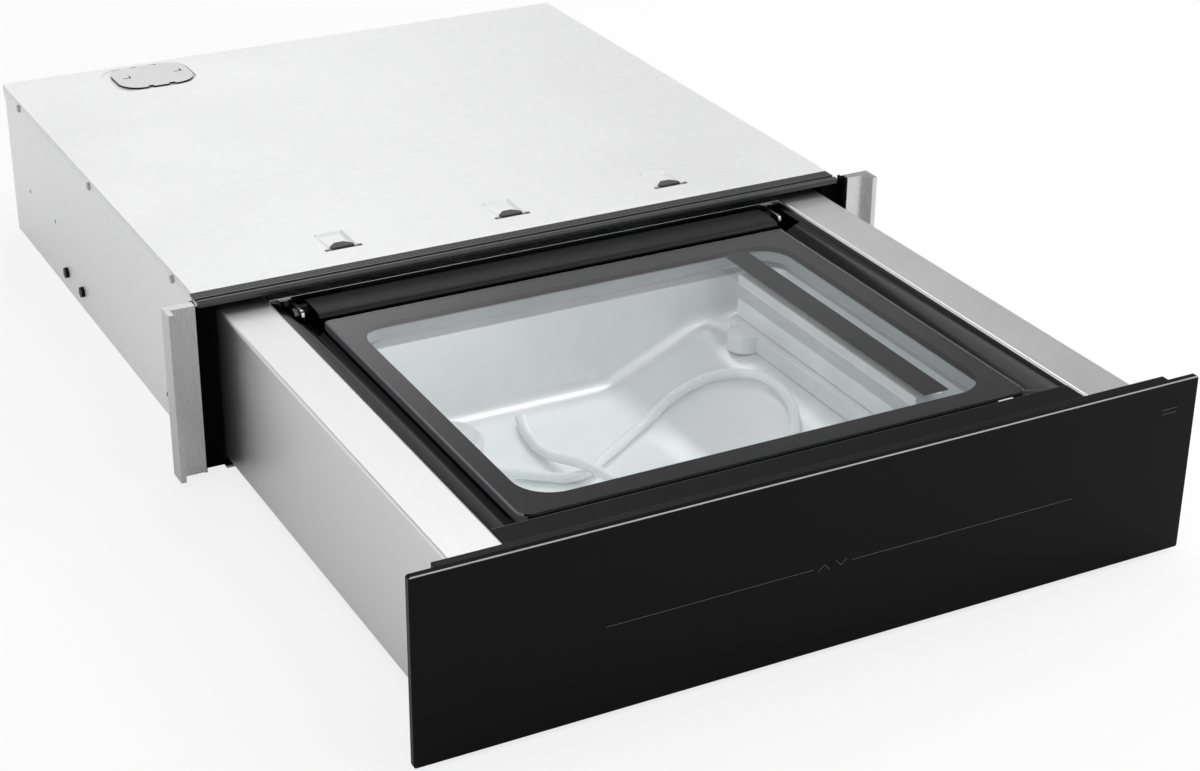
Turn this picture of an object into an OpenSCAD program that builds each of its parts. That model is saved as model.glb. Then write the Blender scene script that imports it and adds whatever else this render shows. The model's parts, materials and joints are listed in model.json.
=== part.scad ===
// Built-in vacuum sealing drawer, pulled out, with its glass lid closed.
// X runs to the right seen from the front, the front faces -Y, and Z is up.
// The origin lies under the cabinet, on its symmetry plane, in the front plane of the kitchen furniture.
// Every part of the drawer is drawn as it lies when shut, and drawn_out() moves it to where it stands open.

/* [Cabinet] */
// Width of the cabinet over the skirts of its cover
cab_w = 540; // [530:1:546]
// Height of the cabinet
cab_h = 137.5; // [137:0.5:150]
// Depth of the cabinet behind the furniture front
cab_d = 522; // [518:1:545]
// Thickness of the cabinet sheets
sheet_t = 1; // [0.8:0.1:1.2]
// Height of the side skirts of the top cover
skirt_h = 11.5; // [10:0.5:16]

/* [Front frame] */
// Clear width of the frame that the drawer passes through
opening_w = 517; // [516:0.5:520]
// Width over the two cheeks of the frame
cheeks_w = 552; // [549:1:556]
// Depth of the corner posts
post_d = 12; // [8:1:12]
// Height of the front face of the top rail
rail_face_h = 4.5; // [4:0.5:6]
// Width of the top rail
rail_w = 542; // [536:1:544]
// Depth of the top rail
rail_d = 18; // [18:1:22]

/* [Side trims] */
// Width over both trims
trims_w = 597; // [592:1:600]
// Height of a trim
trim_h = 134; // [130:1:136]
// Height of the trims' lower ends above the niche floor
trim_z = 4; // [3:0.5:6]
// Thickness of a trim's flange
trim_flange_t = 7.5; // [6:0.5:9]
// Depth of the nose along a trim's outer edge
trim_nose_d = 16.5; // [14:0.5:16.5]
// Width of that nose
trim_nose_w = 4; // [3:0.5:5]
// Wall of the hollow trim extrusion
trim_wall = 1.8; // [1.4:0.1:2.2]

/* [Drawer] */
// How far the drawer runs out
travel = 401; // [300:1:401]
// Width over the two side boxes
boxes_w = 512; // [510:0.5:512]
// Width of each side box
box_w = 39; // [38:0.5:40]
// Height of the top of the side boxes
box_top = 126; // [124:0.5:126.5]
// Height of the lower edge of the side boxes
box_bottom = 6; // [5:0.5:8]
// Length of the side boxes
box_len = 485; // [480:1:490]
// Sheet of the side boxes
box_t = 1.2; // [1:0.1:1.5]
// Height of the underside of the drawer pan
pan_z = 10; // [9:0.5:12]

/* [Glass front] */
// Width of the glass front
glass_w = 582; // [570:1:586]
// Height of the glass front
glass_h = 133; // [128:1:133]
// Thickness of the glass front
glass_t = 5; // [4:0.5:5]
// Height of the lower edge of the glass front
glass_z = 3.3; // [3:0.1:5]
// Width of the chamfer around the glass front
glass_chamfer = 0.8; // [0.4:0.1:1.2]
// Width of the carrier behind the glass
carrier_w = 542; // [530:1:546]
// Depth of the carrier
carrier_d = 9; // [7:0.5:9]

/* [Lid] */
// Width of the lid glass
lid_w = 384; // [376:1:386]
// Depth of the lid glass
lid_d = 321; // [318:1:321]
// Thickness of the lid glass
lid_t = 8; // [6:0.5:8]
// Height of the top face of the lid glass
lid_top = 123; // [122:0.5:123]
// Height of the lid frame
lid_frame_h = 8; // [7:0.5:9]
// Width of the bars of the lid frame
lid_frame_w = 14; // [12:1:15]
// Radius of the front corners of the lid
lid_corner_r = 10; // [6:1:14]

/* [Chamber] */
// Inner width of the chamber at its rim
chamber_w = 352; // [346:1:356]
// Inner depth of the chamber at its rim, front to back
chamber_d = 278; // [272:1:280]
// Depth of the chamber below its rim
chamber_h = 75; // [70:1:78]
// Sheet of the chamber
chamber_t = 1.5; // [1:0.1:1.8]
// Radius of the pressed corners
chamber_r = 14; // [10:1:16]
// Height of the ledge for the seal bar above the chamber floor
ledge_h = 38; // [34:1:40]
// Height of the chamber rim above the underside of the cabinet
rim_z = 103; // [102:0.5:103]

/* [Seal bar] */
// Length of the seal bar
seal_len = 236; // [200:1:238]
// Width of the seal bar
seal_w = 22; // [16:1:24]
// Height of the top of the seal bar at rest
seal_top = 95; // [94:0.5:96]
// How far the seal bar lifts
seal_lift = 11; // [4:0.5:11]

/* [Hose] */
// Outer diameter of the silicone hose
hose_dia = 7.5; // [6:0.5:8]

/* [Hidden] */
$fn = 48;

// One overrun serves every cut.
cut = 1;
// Running gap of a pin in its bore, on the radius
pin_gap = 0.05;
// Gap between pieces that only lie beside each other
near_gap = 0.3;

// Cabinet, worked out from its sizes
cab_hw = cab_w / 2;
wall_out = cab_hw - sheet_t;
wall_in = wall_out - sheet_t;
cover_low = cab_h - sheet_t;
rear_y = cab_d - sheet_t;
pan_lip = 2;
frame_y = 3;
frame_t = 2;
frame_back = frame_y + frame_t;
opening_hw = opening_w / 2;
cheek_hw = cheeks_w / 2;
ear_w = 7;
ear_t = 1.5;

// Places of the drawer when it is shut
box_out = boxes_w / 2;
box_in = box_out - box_w;
box_front = frame_back;
box_back = box_front + box_len;
glass_front_y = -trim_nose_d;
glass_back_y = glass_front_y + glass_t;
carrier_back_y = glass_back_y + carrier_d;
panel_depth = 33.5;
panel_t = 3;
panel_drop = 1;
panel_top = box_top - panel_drop;
panel_low = panel_top - panel_t;
deck_front = carrier_back_y + panel_depth;
rear_plate_y = 403;
rear_plate_t = 1.5;
pan_top = pan_z + box_t;

// Places of the lid when it and the drawer are shut
lid_gap = 7.3;
lid_front_y = deck_front + lid_gap;
lid_back_y = lid_front_y + lid_d;
lid_low = lid_top - lid_t;
frame_low = lid_low - lid_frame_h;

// Hinge axis of the lid
hinge_y = 390;
hinge_z = 117;
pin_r = 3;
knuckle_r = 7;

// Chamber
chamber_front = lid_front_y + 20.7;
chamber_back = chamber_front + chamber_d;
chamber_hw = chamber_w / 2;
chamber_floor = rim_z - chamber_h;
ledge_z = chamber_floor + ledge_h;

module block(x0, x1, y0, y1, z0, z1) {
    translate([x0, y0, z0]) cube([x1 - x0, y1 - y0, z1 - z0]);
}

module drawn_out() {
    translate([0, -travel, 0]) children();
}

module half_out() {
    translate([0, -travel / 2, 0]) children();
}

module on_left() {
    mirror([1, 0, 0]) children();
}

module both_sides() {
    children();
    mirror([1, 0, 0]) children();
}

// A round rod or hole along X, from x0 to x1.
module along_x(x0, x1, y, z, r) {
    translate([x0, y, z]) rotate([0, 90, 0]) cylinder(h = x1 - x0, r = r);
}

// A round rod or hole along Y, from y0 to y1.
module along_y(x, y0, y1, z, r) {
    translate([x, y1, z]) rotate([90, 0, 0]) cylinder(h = y1 - y0, r = r);
}

// A flat outline in the XY plane, drawn out along X from -half to half.
module bar_along_x(half) {
    rotate([90, 0, 90]) translate([0, 0, -half]) linear_extrude(height = 2 * half) children();
}

// A rectangle with four round corners.
module rounded(x0, x1, y0, y1, r) {
    translate([x0 + r, y0]) square([x1 - x0 - 2 * r, y1 - y0]);
    translate([x0, y0 + r]) square([x1 - x0, y1 - y0 - 2 * r]);
    for (x = [x0 + r, x1 - r], y = [y0 + r, y1 - r]) translate([x, y]) circle(r = r);
}

// A rectangle on the symmetry plane whose two front corners are round.
module front_rounded(hw, y0, y1, r) {
    translate([-hw, y0 + r]) square([2 * hw, y1 - y0 - r]);
    translate([-hw + r, y0]) square([2 * hw - 2 * r, r + cut]);
    for (x = [-hw + r, hw - r]) translate([x, y0 + r]) circle(r = r);
}

// The same outline as a list of points
front_corner_steps = 6;

function corner_arc(x, y, r, from) = [for (i = [0:front_corner_steps])
    let (a = from + 90 * i / front_corner_steps) [x + r * cos(a), y + r * sin(a)]];
function front_outline(hw, y0, y1, r) = concat([[-hw, y1]], corner_arc(-hw + r, y0 + r, r, 180),
                                               corner_arc(hw - r, y0 + r, r, 270), [[hw, y1]]);

// Solid through a stack of outlines, listed from the top down as [z, outline].
module stacked(levels) {
    n = len(levels[0][1]);
    last = (len(levels) - 1) * n;
    polyhedron(points = [for (l = levels, p = l[1]) [p[0], p[1], l[0]]],
               faces = concat([[for (i = [n - 1:-1:0]) i]], [[for (i = [0:n - 1]) last + i]],
                              [for (k = [0:n:last - 1], i = [0:n - 1]) [k + i, k + (i + 1) % n, k + n + i]],
                              [for (k = [0:n:last - 1], i = [0:n - 1])
                                  [k + (i + 1) % n, k + n + (i + 1) % n, k + n + i]]));
}

// A row of upright vent slots, cut through a sheet that ends at y.
vent_w = 3;
vent_h = 34;
vent_pitch = 8;
vent_count = 18;
vent_low = 45;

module vent_row(x_mid, y, t) {
    x0 = x_mid - vent_pitch * (vent_count - 1) / 2;
    for (i = [0:vent_count - 1]) {
        x = x0 + i * vent_pitch;
        block(x - vent_w / 2, x + vent_w / 2, y - t - cut, y + cut, vent_low, vent_low + vent_h);
        for (z = [vent_low, vent_low + vent_h]) along_y(x, y - t - cut, y + cut, z, vent_w / 2);
    }
}

// Cabinet pan, its holes and its rear panel
rear_ear_w = 9;
wall_hole_r = 2;
wall_hole_z = 55;
wall_hole_shares = [0.745, 0.893];
fixing_hole_r = 2.25;
fixing_hole_y = 100;
fixing_hole_z = 18;
plug_r = 3;
plug_head_r = 5;
plug_head_t = 3;
plug_z = 17.2;
plug_shares = [0.609, 0.696];
screw_r = 1.6;
screw_head_r = 3.2;
screw_head_t = 1.6;
screw_len = 4;
cover_screw_drop = 6.5;
cover_screw_z = cab_h - cover_screw_drop;
cover_screw_shares = [0.115, 0.51, 0.902];
rear_screw_x = wall_in - rear_ear_w / 2;
rear_screw_shares = [0.2, 0.82];

// One side wall, stepped down in front to pass under the fold of the cover and the top rail.
module pan_wall() {
    wall_top = cover_low - near_gap;
    fold_top = wall_top - fold_drop;
    rail_top = post_top - near_gap;
    rail_back = rail_d + near_gap;
    translate([wall_in, 0, 0]) rotate([90, 0, 90]) linear_extrude(height = sheet_t)
        polygon([[frame_back, 0], [rear_y, 0], [rear_y, wall_top], [fold_y, wall_top], [fold_y, fold_top],
                 [rail_back, fold_top], [rail_back, rail_top], [frame_back, rail_top]]);
}

module base_pan() {
    color("gainsboro") difference() {
        union() {
            block(-opening_hw, opening_hw, -pan_lip, frame_back, 0, sheet_t);
            block(-wall_out, wall_out, frame_back, rear_y, 0, sheet_t);
            both_sides() {
                pan_wall();
                block(wall_in - rear_ear_w, wall_out, rear_y - sheet_t, rear_y, 0,
                      cover_low - near_gap);
            }
        }
        both_sides() {
            along_x(wall_in - cut, wall_out + cut, fixing_hole_y, fixing_hole_z, fixing_hole_r);
            for (s = wall_hole_shares)
                along_x(wall_in - cut, wall_out + cut, s * cab_d, wall_hole_z, wall_hole_r);
            for (s = plug_shares)
                along_x(wall_in - cut, wall_out + cut, s * cab_d, plug_z, plug_r + pin_gap);
            for (s = cover_screw_shares)
                along_x(wall_in - cut, wall_out + cut, s * cab_d, cover_screw_z, screw_r + pin_gap);
            for (s = rear_screw_shares)
                along_y(rear_screw_x, rear_y - sheet_t - cut, rear_y + cut, s * cab_h, screw_r + pin_gap);
        }
    }
}

lead_x = -145;
lead_z = 70;
gland_r = 7;
panel_vent_x = 70;

module rear_panel() {
    color("gainsboro") difference() {
        block(-wall_out, wall_out, rear_y, cab_d, 0, cover_low - near_gap);
        vent_row(panel_vent_x, cab_d, sheet_t);
        along_y(lead_x, rear_y - cut, cab_d + cut, lead_z, gland_r + pin_gap);
        both_sides() for (s = rear_screw_shares)
            along_y(rear_screw_x, rear_y - cut, cab_d + cut, s * cab_h, screw_r + pin_gap);
    }
}

gland_flange_r = 11;
gland_flange_t = 2.5;
gland_len = 14;
gland_bore_r = 4;

module cable_gland() {
    color("black") difference() {
        union() {
            along_y(lead_x, rear_y - gland_len, cab_d, lead_z, gland_r);
            along_y(lead_x, rear_y - gland_flange_t, rear_y, lead_z, gland_flange_r);
            along_y(lead_x, cab_d, cab_d + gland_flange_t, lead_z, gland_flange_r);
        }
        along_y(lead_x, rear_y - gland_len - cut, cab_d + gland_flange_t + cut, lead_z, gland_bore_r);
    }
}

module cover_screws() {
    color("silver") both_sides() {
        for (s = cover_screw_shares) {
            along_x(wall_in - screw_len, cab_hw, s * cab_d, cover_screw_z, screw_r);
            along_x(cab_hw, cab_hw + screw_head_t, s * cab_d, cover_screw_z, screw_head_r);
        }
        for (s = rear_screw_shares) {
            along_y(rear_screw_x, rear_y - screw_len, cab_d, s * cab_h, screw_r);
            along_y(rear_screw_x, cab_d, cab_d + screw_head_t, s * cab_h, screw_head_r);
        }
    }
}

// Hexagonal plastic plugs low in the side walls
module side_plugs() {
    color("black") both_sides() for (s = plug_shares) {
        along_x(wall_in, wall_out, s * cab_d, plug_z, plug_r);
        for (x = [wall_out, wall_in - plug_head_t])
            translate([x, s * cab_d, plug_z]) rotate([0, 90, 0])
                cylinder(h = plug_head_t, r = plug_head_r, $fn = 6);
    }
}

// Top cover with three sunken buffer seats and the seat of the outlet cover
fold_y = 27;
fold_drop = 1.2;
buffer_x = 141;
buffer_r = 10;
buffer_turn = 22.5;
buffer_t = 2.2;
recess_w = 23;
recess_front = 45;
recess_d = 31;
recess_drop = 1.4;
slot_w = 30;
slot_d = 3;
outlet_x0 = -179;
outlet_w = 69;
outlet_d = 58;
outlet_margin = 8;
outlet_r = 20;
outlet_rim = 5;
outlet_rise = 0.8;
tray_left = 9;
tray_gap = 1.5;
outlet_x1 = outlet_x0 + outlet_w;
outlet_y1 = cab_d - outlet_margin;
outlet_y0 = outlet_y1 - outlet_d;

module recess_hole(x) {
    translate([0, 0, cover_low - cut]) linear_extrude(height = sheet_t + 2 * cut) {
        rounded(x - recess_w / 2, x + recess_w / 2, recess_front, recess_front + recess_d, sheet_t);
        translate([x - slot_w / 2, recess_front - slot_d]) square([slot_w, slot_d + sheet_t]);
    }
}

// Sunken pan of one recess, open at its front.
module recess_pan(x) {
    low = cover_low - recess_drop;
    difference() {
        translate([0, 0, low]) linear_extrude(height = recess_drop)
            rounded(x - recess_w / 2 - sheet_t, x + recess_w / 2 + sheet_t,
                    recess_front, recess_front + recess_d + sheet_t, 2 * sheet_t);
        translate([0, 0, low + sheet_t]) linear_extrude(height = recess_drop + cut)
            rounded(x - recess_w / 2, x + recess_w / 2, recess_front - 2 * sheet_t,
                    recess_front + recess_d, sheet_t);
    }
}

module outlet_outline(grow) {
    rounded(outlet_x0 - grow, outlet_x1 + grow, outlet_y0 - grow, outlet_y1 + grow, outlet_r + grow);
}

// The sunken tray reaches further to the left than the cover that lies in it.
module tray_outline(grow) {
    rounded(outlet_x0 - tray_left - grow, outlet_x1 + tray_gap + grow, outlet_y0 - 2 * tray_gap - grow,
            outlet_y1 + tray_gap + grow, outlet_r + grow);
}

module outlet_seat() {
    translate([0, 0, cover_low - sheet_t]) linear_extrude(height = sheet_t) difference() {
        tray_outline(sheet_t);
        outlet_outline(-outlet_rim);
    }
}

module top_cover() {
    color("whitesmoke") {
        difference() {
            union() {
                block(-cab_hw, cab_hw, fold_y, cab_d, cover_low, cab_h);
                bar_along_x(cab_hw)
                    polygon([[fold_y, cab_h], [rail_d, cab_h - fold_drop], [rail_d, cover_low - fold_drop],
                             [fold_y, cover_low]]);
                both_sides() translate([wall_out, 0, 0]) rotate([90, 0, 90])
                    linear_extrude(height = sheet_t)
                        polygon([[rail_d, cab_h - skirt_h], [cab_d, cab_h - skirt_h], [cab_d, cab_h],
                                 [fold_y, cab_h], [rail_d, cab_h - fold_drop]]);
            }
            for (x = [-buffer_x, 0, buffer_x]) recess_hole(x);
            translate([0, 0, cover_low - cut]) linear_extrude(height = sheet_t + 2 * cut)
                tray_outline(0);
            both_sides() for (s = cover_screw_shares)
                along_x(wall_out - cut, cab_hw + cut, s * cab_d, cover_screw_z, screw_r + pin_gap);
        }
        for (x = [-buffer_x, 0, buffer_x]) recess_pan(x);
        outlet_seat();
    }
}

notch_w = 5;
notch_d = 3;
notch_shares = [0.36, 0.64];
vent_slot_w = 1.2;
vent_slot_len = 6;
vent_slot_shares = [0.16, 0.84];

// Plate over the outlet, with notches in its long edges and an angled slot at each end
module outlet_cover() {
    color("lightgray") translate([0, 0, cover_low]) linear_extrude(height = sheet_t + outlet_rise)
        difference() {
            outlet_outline(0);
            for (s = notch_shares, y = [outlet_y0 - cut, outlet_y1 - notch_d])
                translate([outlet_x0 + s * outlet_w - notch_w / 2, y]) square([notch_w, notch_d + cut]);
            for (s = vent_slot_shares) translate([outlet_x0 + s * outlet_w, (outlet_y0 + outlet_y1) / 2]) {
                translate([-vent_slot_len / 2, 0]) square([vent_slot_len, vent_slot_w]);
                translate([vent_slot_len / 2, 0]) square([vent_slot_w, vent_slot_len]);
            }
        }
}

module stack_buffers() {
    color("dimgray") for (x = [-buffer_x, 0, buffer_x])
        translate([x, recess_front, cover_low - recess_drop + sheet_t]) intersection() {
            rotate([0, 0, buffer_turn]) cylinder(h = buffer_t, r = buffer_r, $fn = 8);
            block(-buffer_r, buffer_r, 0, buffer_r, 0, buffer_t);
        }
}

// Front frame: posts, cheeks, ears for the trims, a top bar under the rail and a sill
rail_leg_t = 4;
rail_shelf = 3.5;
rail_low = cab_h - rail_face_h - fold_drop;
post_top = cab_h - rail_shelf;
bar_h = 4;
fin_t = 2;
fin_front = 3;
sill_h = 3.5;
trim_screw_x = cheek_hw + ear_w / 2;
trim_screw_r = 1.3;
trim_screw_head_r = 2.7;
trim_screw_head_t = 1.4;
trim_screw_len = 4;
trim_screw_shares = [0.14, 0.5, 0.86];

module front_frame() {
    color("black") difference() {
        union() {
            both_sides() {
                block(opening_hw, wall_in, frame_back, frame_back + post_d, sheet_t, post_top);
                block(opening_hw, cheek_hw, frame_y, frame_back, sheet_t, rail_low - near_gap);
                block(cheek_hw - fin_t, cheek_hw, -fin_front, frame_back, sheet_t, cover_low);
                block(cheek_hw - fin_t, cheek_hw + ear_w, 0, ear_t, trim_z, trim_z + trim_h - sheet_t);
            }
            block(-wall_in, wall_in, rail_leg_t + near_gap, frame_back + post_d, post_top - bar_h, post_top);
            block(-opening_hw, opening_hw, 0, frame_back, sheet_t, sheet_t + sill_h);
        }
        both_sides() for (s = trim_screw_shares)
            along_y(trim_screw_x, -cut, ear_t + cut, trim_z + s * trim_h, trim_screw_r + pin_gap);
    }
}

// The rail has a round nose, a wide groove behind it and a band of fine ribs.
nose_r = 2.4;
nose_steps = 6;
groove_y = 4;
groove_w = 3;
groove_d = 1.4;
rib_shares = [0.5, 0.62, 0.74, 0.86];
rib_gap_w = 0.8;
rib_gap_d = 0.5;

module rail_groove(y, w, d) {
    top = cab_h - fold_drop;
    block(-rail_w / 2 - cut, rail_w / 2 + cut, y, y + w, top - d, top + cut);
}

module top_rail() {
    top = cab_h - fold_drop;
    nose = [for (i = [0:nose_steps]) let (a = 180 - 90 * i / nose_steps)
        [nose_r + nose_r * cos(a), top - nose_r + nose_r * sin(a)]];
    color("dimgray") difference() {
        bar_along_x(rail_w / 2)
            polygon(concat([[0, rail_low]], nose,
                           [[rail_d, top], [rail_d, post_top], [rail_leg_t, post_top],
                            [rail_leg_t, rail_low]]));
        rail_groove(groove_y, groove_w, groove_d);
        for (s = rib_shares) rail_groove(s * rail_d, rib_gap_w, rib_gap_d);
    }
}

// Hollow side trim with a closed upper end, drawn for the right side
module trim() {
    trim_out = trims_w / 2;
    nose_in = trim_out - trim_nose_w;
    color("silver") difference() {
        translate([0, 0, trim_z]) linear_extrude(height = trim_h)
            polygon([[cheek_hw, 0], [cheek_hw, -trim_flange_t], [nose_in, -trim_flange_t],
                     [nose_in, -trim_nose_d], [trim_out, -trim_nose_d], [trim_out, 0]]);
        block(cheek_hw + trim_wall, trim_out - trim_wall, -trim_flange_t + trim_wall, -trim_wall,
              trim_z - cut, trim_z + trim_h - trim_wall);
        for (s = trim_screw_shares)
            along_y(trim_screw_x, -trim_wall - cut, cut, trim_z + s * trim_h, trim_screw_r + pin_gap);
    }
}

module trim_right() {
    trim();
}

module trim_left() {
    on_left() trim();
}

module trim_screws() {
    color("silver") both_sides() for (s = trim_screw_shares) {
        z = trim_z + s * trim_h;
        along_y(trim_screw_x, ear_t - trim_screw_len, ear_t, z, trim_screw_r);
        along_y(trim_screw_x, ear_t, ear_t + trim_screw_head_t, z, trim_screw_head_r);
    }
}

// Telescopic rails, drawn for the right side. Each member is a channel lying on its side.
rail_len = 455;
rail_front = 20;
rail_mid_z = 60;
rail_h = 45;
rail_wall = 1.5;
rail_gap = 0.4;
rail_hole_r = 3;
rail_hole_shares = [0.08, 0.36, 0.64, 0.92];
rail_pack_w = 15.8;
bracket_plate_t = 2;
bracket_foot_w = 15;
rail_step = rail_wall + rail_gap;
inner_web_x = box_out - box_t;
rail_web_x = inner_web_x - rail_pack_w + bracket_plate_t;
bracket_plate_x = rail_web_x - bracket_plate_t;
middle_x = rail_web_x + rail_step;
middle_h = rail_h - 2 * rail_step;
inner_h = middle_h - 2 * rail_step;

// The web stands from x_web to x_web + web_dir * rail_wall, and the flanges reach to x_lip.
module channel(x_web, x_lip, web_dir, h) {
    x_in = x_web + web_dir * rail_wall;
    difference() {
        block(min(x_web, x_lip), max(x_web, x_lip), 0, rail_len, -h / 2, h / 2);
        block(min(x_in, x_lip + web_dir * cut), max(x_in, x_lip + web_dir * cut), -cut, rail_len + cut,
              -h / 2 + rail_wall, h / 2 - rail_wall);
        for (s = rail_hole_shares)
            along_x(min(x_web, x_in) - cut, max(x_web, x_in) + cut, s * rail_len, 0, rail_hole_r);
    }
}

module fixed_rail() {
    color("lightslategray") {
        translate([0, rail_front, rail_mid_z])
            channel(rail_web_x, inner_web_x - rail_step, 1, rail_h);
        difference() {
            block(bracket_plate_x, rail_web_x, rail_front, rail_front + rail_len, sheet_t,
                  rail_mid_z + rail_h / 2);
            for (s = rail_hole_shares)
                along_x(bracket_plate_x - cut, rail_web_x + cut, rail_front + s * rail_len, rail_mid_z,
                        rail_hole_r);
        }
        block(bracket_plate_x - bracket_foot_w, bracket_plate_x, rail_front, rail_front + rail_len,
              sheet_t, sheet_t + bracket_plate_t);
    }
}

module middle_rail() {
    color("lightslategray") half_out() translate([0, rail_front, rail_mid_z])
        channel(middle_x, inner_web_x - rail_step, 1, middle_h);
}

module inner_rail() {
    color("lightslategray") drawn_out() translate([0, rail_front, rail_mid_z])
        channel(inner_web_x, middle_x + rail_step, -1, inner_h);
}

module fixed_rail_right() {
    fixed_rail();
}

module fixed_rail_left() {
    on_left() fixed_rail();
}

module middle_rail_right() {
    middle_rail();
}

module middle_rail_left() {
    on_left() middle_rail();
}

module inner_rail_right() {
    inner_rail();
}

module inner_rail_left() {
    on_left() inner_rail();
}

// Push latch at the back of the cabinet
latch_w = 26;
latch_h = 18;
latch_z = 30;
plunger_r = 4;
plunger_stroke = 8;
plunger_grip = 6;
plunger_cap_r = 5.5;
plunger_cap_t = 3;
plunger_tip = box_back + near_gap;
latch_front = plunger_tip + plunger_cap_t + plunger_stroke + near_gap;

module latch_housing() {
    color("dimgray") difference() {
        union() {
            block(-latch_w / 2, latch_w / 2, latch_front, rear_y, latch_z - latch_h / 2,
                  latch_z + latch_h / 2);
            block(-latch_w / 2, latch_w / 2, rear_y - bracket_plate_t, rear_y, sheet_t, latch_z);
        }
        along_y(0, latch_front - cut, rear_y - bracket_plate_t, latch_z, plunger_r + pin_gap);
    }
}

module latch_plunger() {
    color("white") {
        along_y(0, plunger_tip, plunger_tip + plunger_cap_t, latch_z, plunger_cap_r);
        along_y(0, plunger_tip + plunger_cap_t, latch_front + plunger_grip, latch_z, plunger_r);
    }
}

// Drawer shell
back_vent_x = 70;
back_hw = box_in + box_t;

module drawer_pan() {
    color("lightgray") drawn_out() {
        block(-box_in, box_in, box_front, box_back - box_t, pan_z, pan_top);
        block(-box_in, box_in, box_front, box_front + box_t, pan_top, deck_low - near_gap);
    }
}

module drawer_back() {
    color("lightgray") drawn_out() difference() {
        block(-back_hw, back_hw, box_back - box_t, box_back, pan_z, box_top);
        vent_row(back_vent_x, box_back, box_t);
    }
}

box_bend_r = 2.4;
box_lip_w = 6;

// Quarter of a ring, for the bends of the side box.
module bend() {
    difference() {
        intersection() {
            circle(r = box_bend_r);
            square(box_bend_r);
        }
        circle(r = box_bend_r - box_t);
    }
}

module side_box() {
    bend_z = box_top - box_bend_r;
    color("silver") drawn_out() translate([0, box_back - box_t, 0]) rotate([90, 0, 0])
        linear_extrude(height = box_len - box_t) {
            translate([box_out - box_t, box_bottom]) square([box_t, bend_z - box_bottom]);
            translate([box_in, pan_z]) square([box_t, bend_z - pan_z]);
            translate([box_in + box_bend_r, box_top - box_t]) square([box_w - 2 * box_bend_r, box_t]);
            translate([box_out - box_bend_r, bend_z]) bend();
            translate([box_in + box_bend_r, bend_z]) mirror([1, 0, 0]) bend();
            translate([box_out - box_lip_w, box_bottom]) square([box_lip_w, box_t]);
        }
}

module side_box_right() {
    side_box();
}

module side_box_left() {
    on_left() side_box();
}

// Glass front with a chamfer all round, and the carrier behind it
glass_corner_r = 2;
glass_edge_t = 0.2;

module glass_slab(y0, y1, inset) {
    translate([0, y1, 0]) rotate([90, 0, 0]) linear_extrude(height = y1 - y0)
        rounded(-glass_w / 2 + inset, glass_w / 2 - inset, glass_z + inset, glass_z + glass_h - inset,
                glass_corner_r, $fn = 24);
}

module glass_front() {
    color("black") drawn_out() hull() {
        glass_slab(glass_front_y, glass_front_y + glass_edge_t, glass_chamfer);
        glass_slab(glass_front_y + glass_chamfer, glass_back_y, 0);
    }
}

carrier_wall = 1.5;
carrier_inset = 1.8;
carrier_z = glass_z + carrier_inset;
carrier_top = glass_z + glass_h - carrier_inset;

module front_carrier() {
    color("dimgray") drawn_out() {
        difference() {
            block(-carrier_w / 2, carrier_w / 2, glass_back_y, carrier_back_y, carrier_z, carrier_top);
            block(-carrier_w / 2 + carrier_wall, carrier_w / 2 - carrier_wall, glass_back_y + carrier_wall,
                  carrier_back_y - carrier_wall, carrier_z + carrier_wall, carrier_top - carrier_wall);
        }
        block(-box_out, box_out, carrier_back_y, box_front, box_bottom, panel_low);
        both_sides() block(box_in, box_out, carrier_back_y, box_front, panel_low, box_top);
    }
}

module control_panel() {
    color("black") drawn_out()
        block(-box_in, box_in, carrier_back_y, deck_front, panel_low, panel_top);
}

board_w = 300;
board_t = 1.6;
board_gap = 6;
board_margin = 3;
board_post_r = 3;
key_count = 8;
key_r = 6;
key_t = 1.2;

module control_board() {
    top = panel_low - board_gap;
    y_mid = (box_front + deck_front) / 2;
    color("darkgreen") drawn_out() {
        block(-board_w / 2, board_w / 2, box_front + board_margin, deck_front - board_margin,
              top - board_t, top);
        both_sides() translate([board_w / 2 - 2 * board_post_r, y_mid, top])
            cylinder(h = board_gap, r = board_post_r);
        for (i = [1:key_count])
            translate([board_w * (i / (key_count + 1) - 1 / 2), y_mid, top])
                cylinder(h = key_t, r = key_r);
    }
}

// Black moulding around the lid: a round shoulder and a slope at each side down to a crease, then a
// steep gutter around the lid, and a trough for the hinge behind it
deck_low = 86;
deck_wall = 3;
deck_drop = 1.5;
deck_top = box_top - deck_drop;
pocket_front = deck_front + 1;
pocket_r = 22;
pocket_rim = 1;
pocket_rim_r = 1;
pocket_foot = 2;
pocket_floor = rim_z - chamber_t;
shoulder_r = 26;
shoulder_turn = 26;
shoulder_steps = 5;
crease_gap = 3.5;
crease_x = lid_w / 2 + crease_gap;
shoulder_x = box_in - pocket_rim - shoulder_r * sin(shoulder_turn);
crease_z = deck_top - shoulder_r * (1 - cos(shoulder_turn)) - (shoulder_x - crease_x) * tan(shoulder_turn);
bracket_t = 2.5;
bracket_flange_w = 10;
case_w = 8;
bracket_x = lid_w / 2 + case_w + near_gap;
trough_hw = bracket_x + bracket_flange_w + near_gap;
trough_front = lid_back_y + 1;
trough_low = deck_low + deck_wall;

function pocket_level(z, hw, r, grow) =
    [z, front_outline(hw + grow, pocket_front - grow, rear_plate_y + cut + grow, r)];

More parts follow.
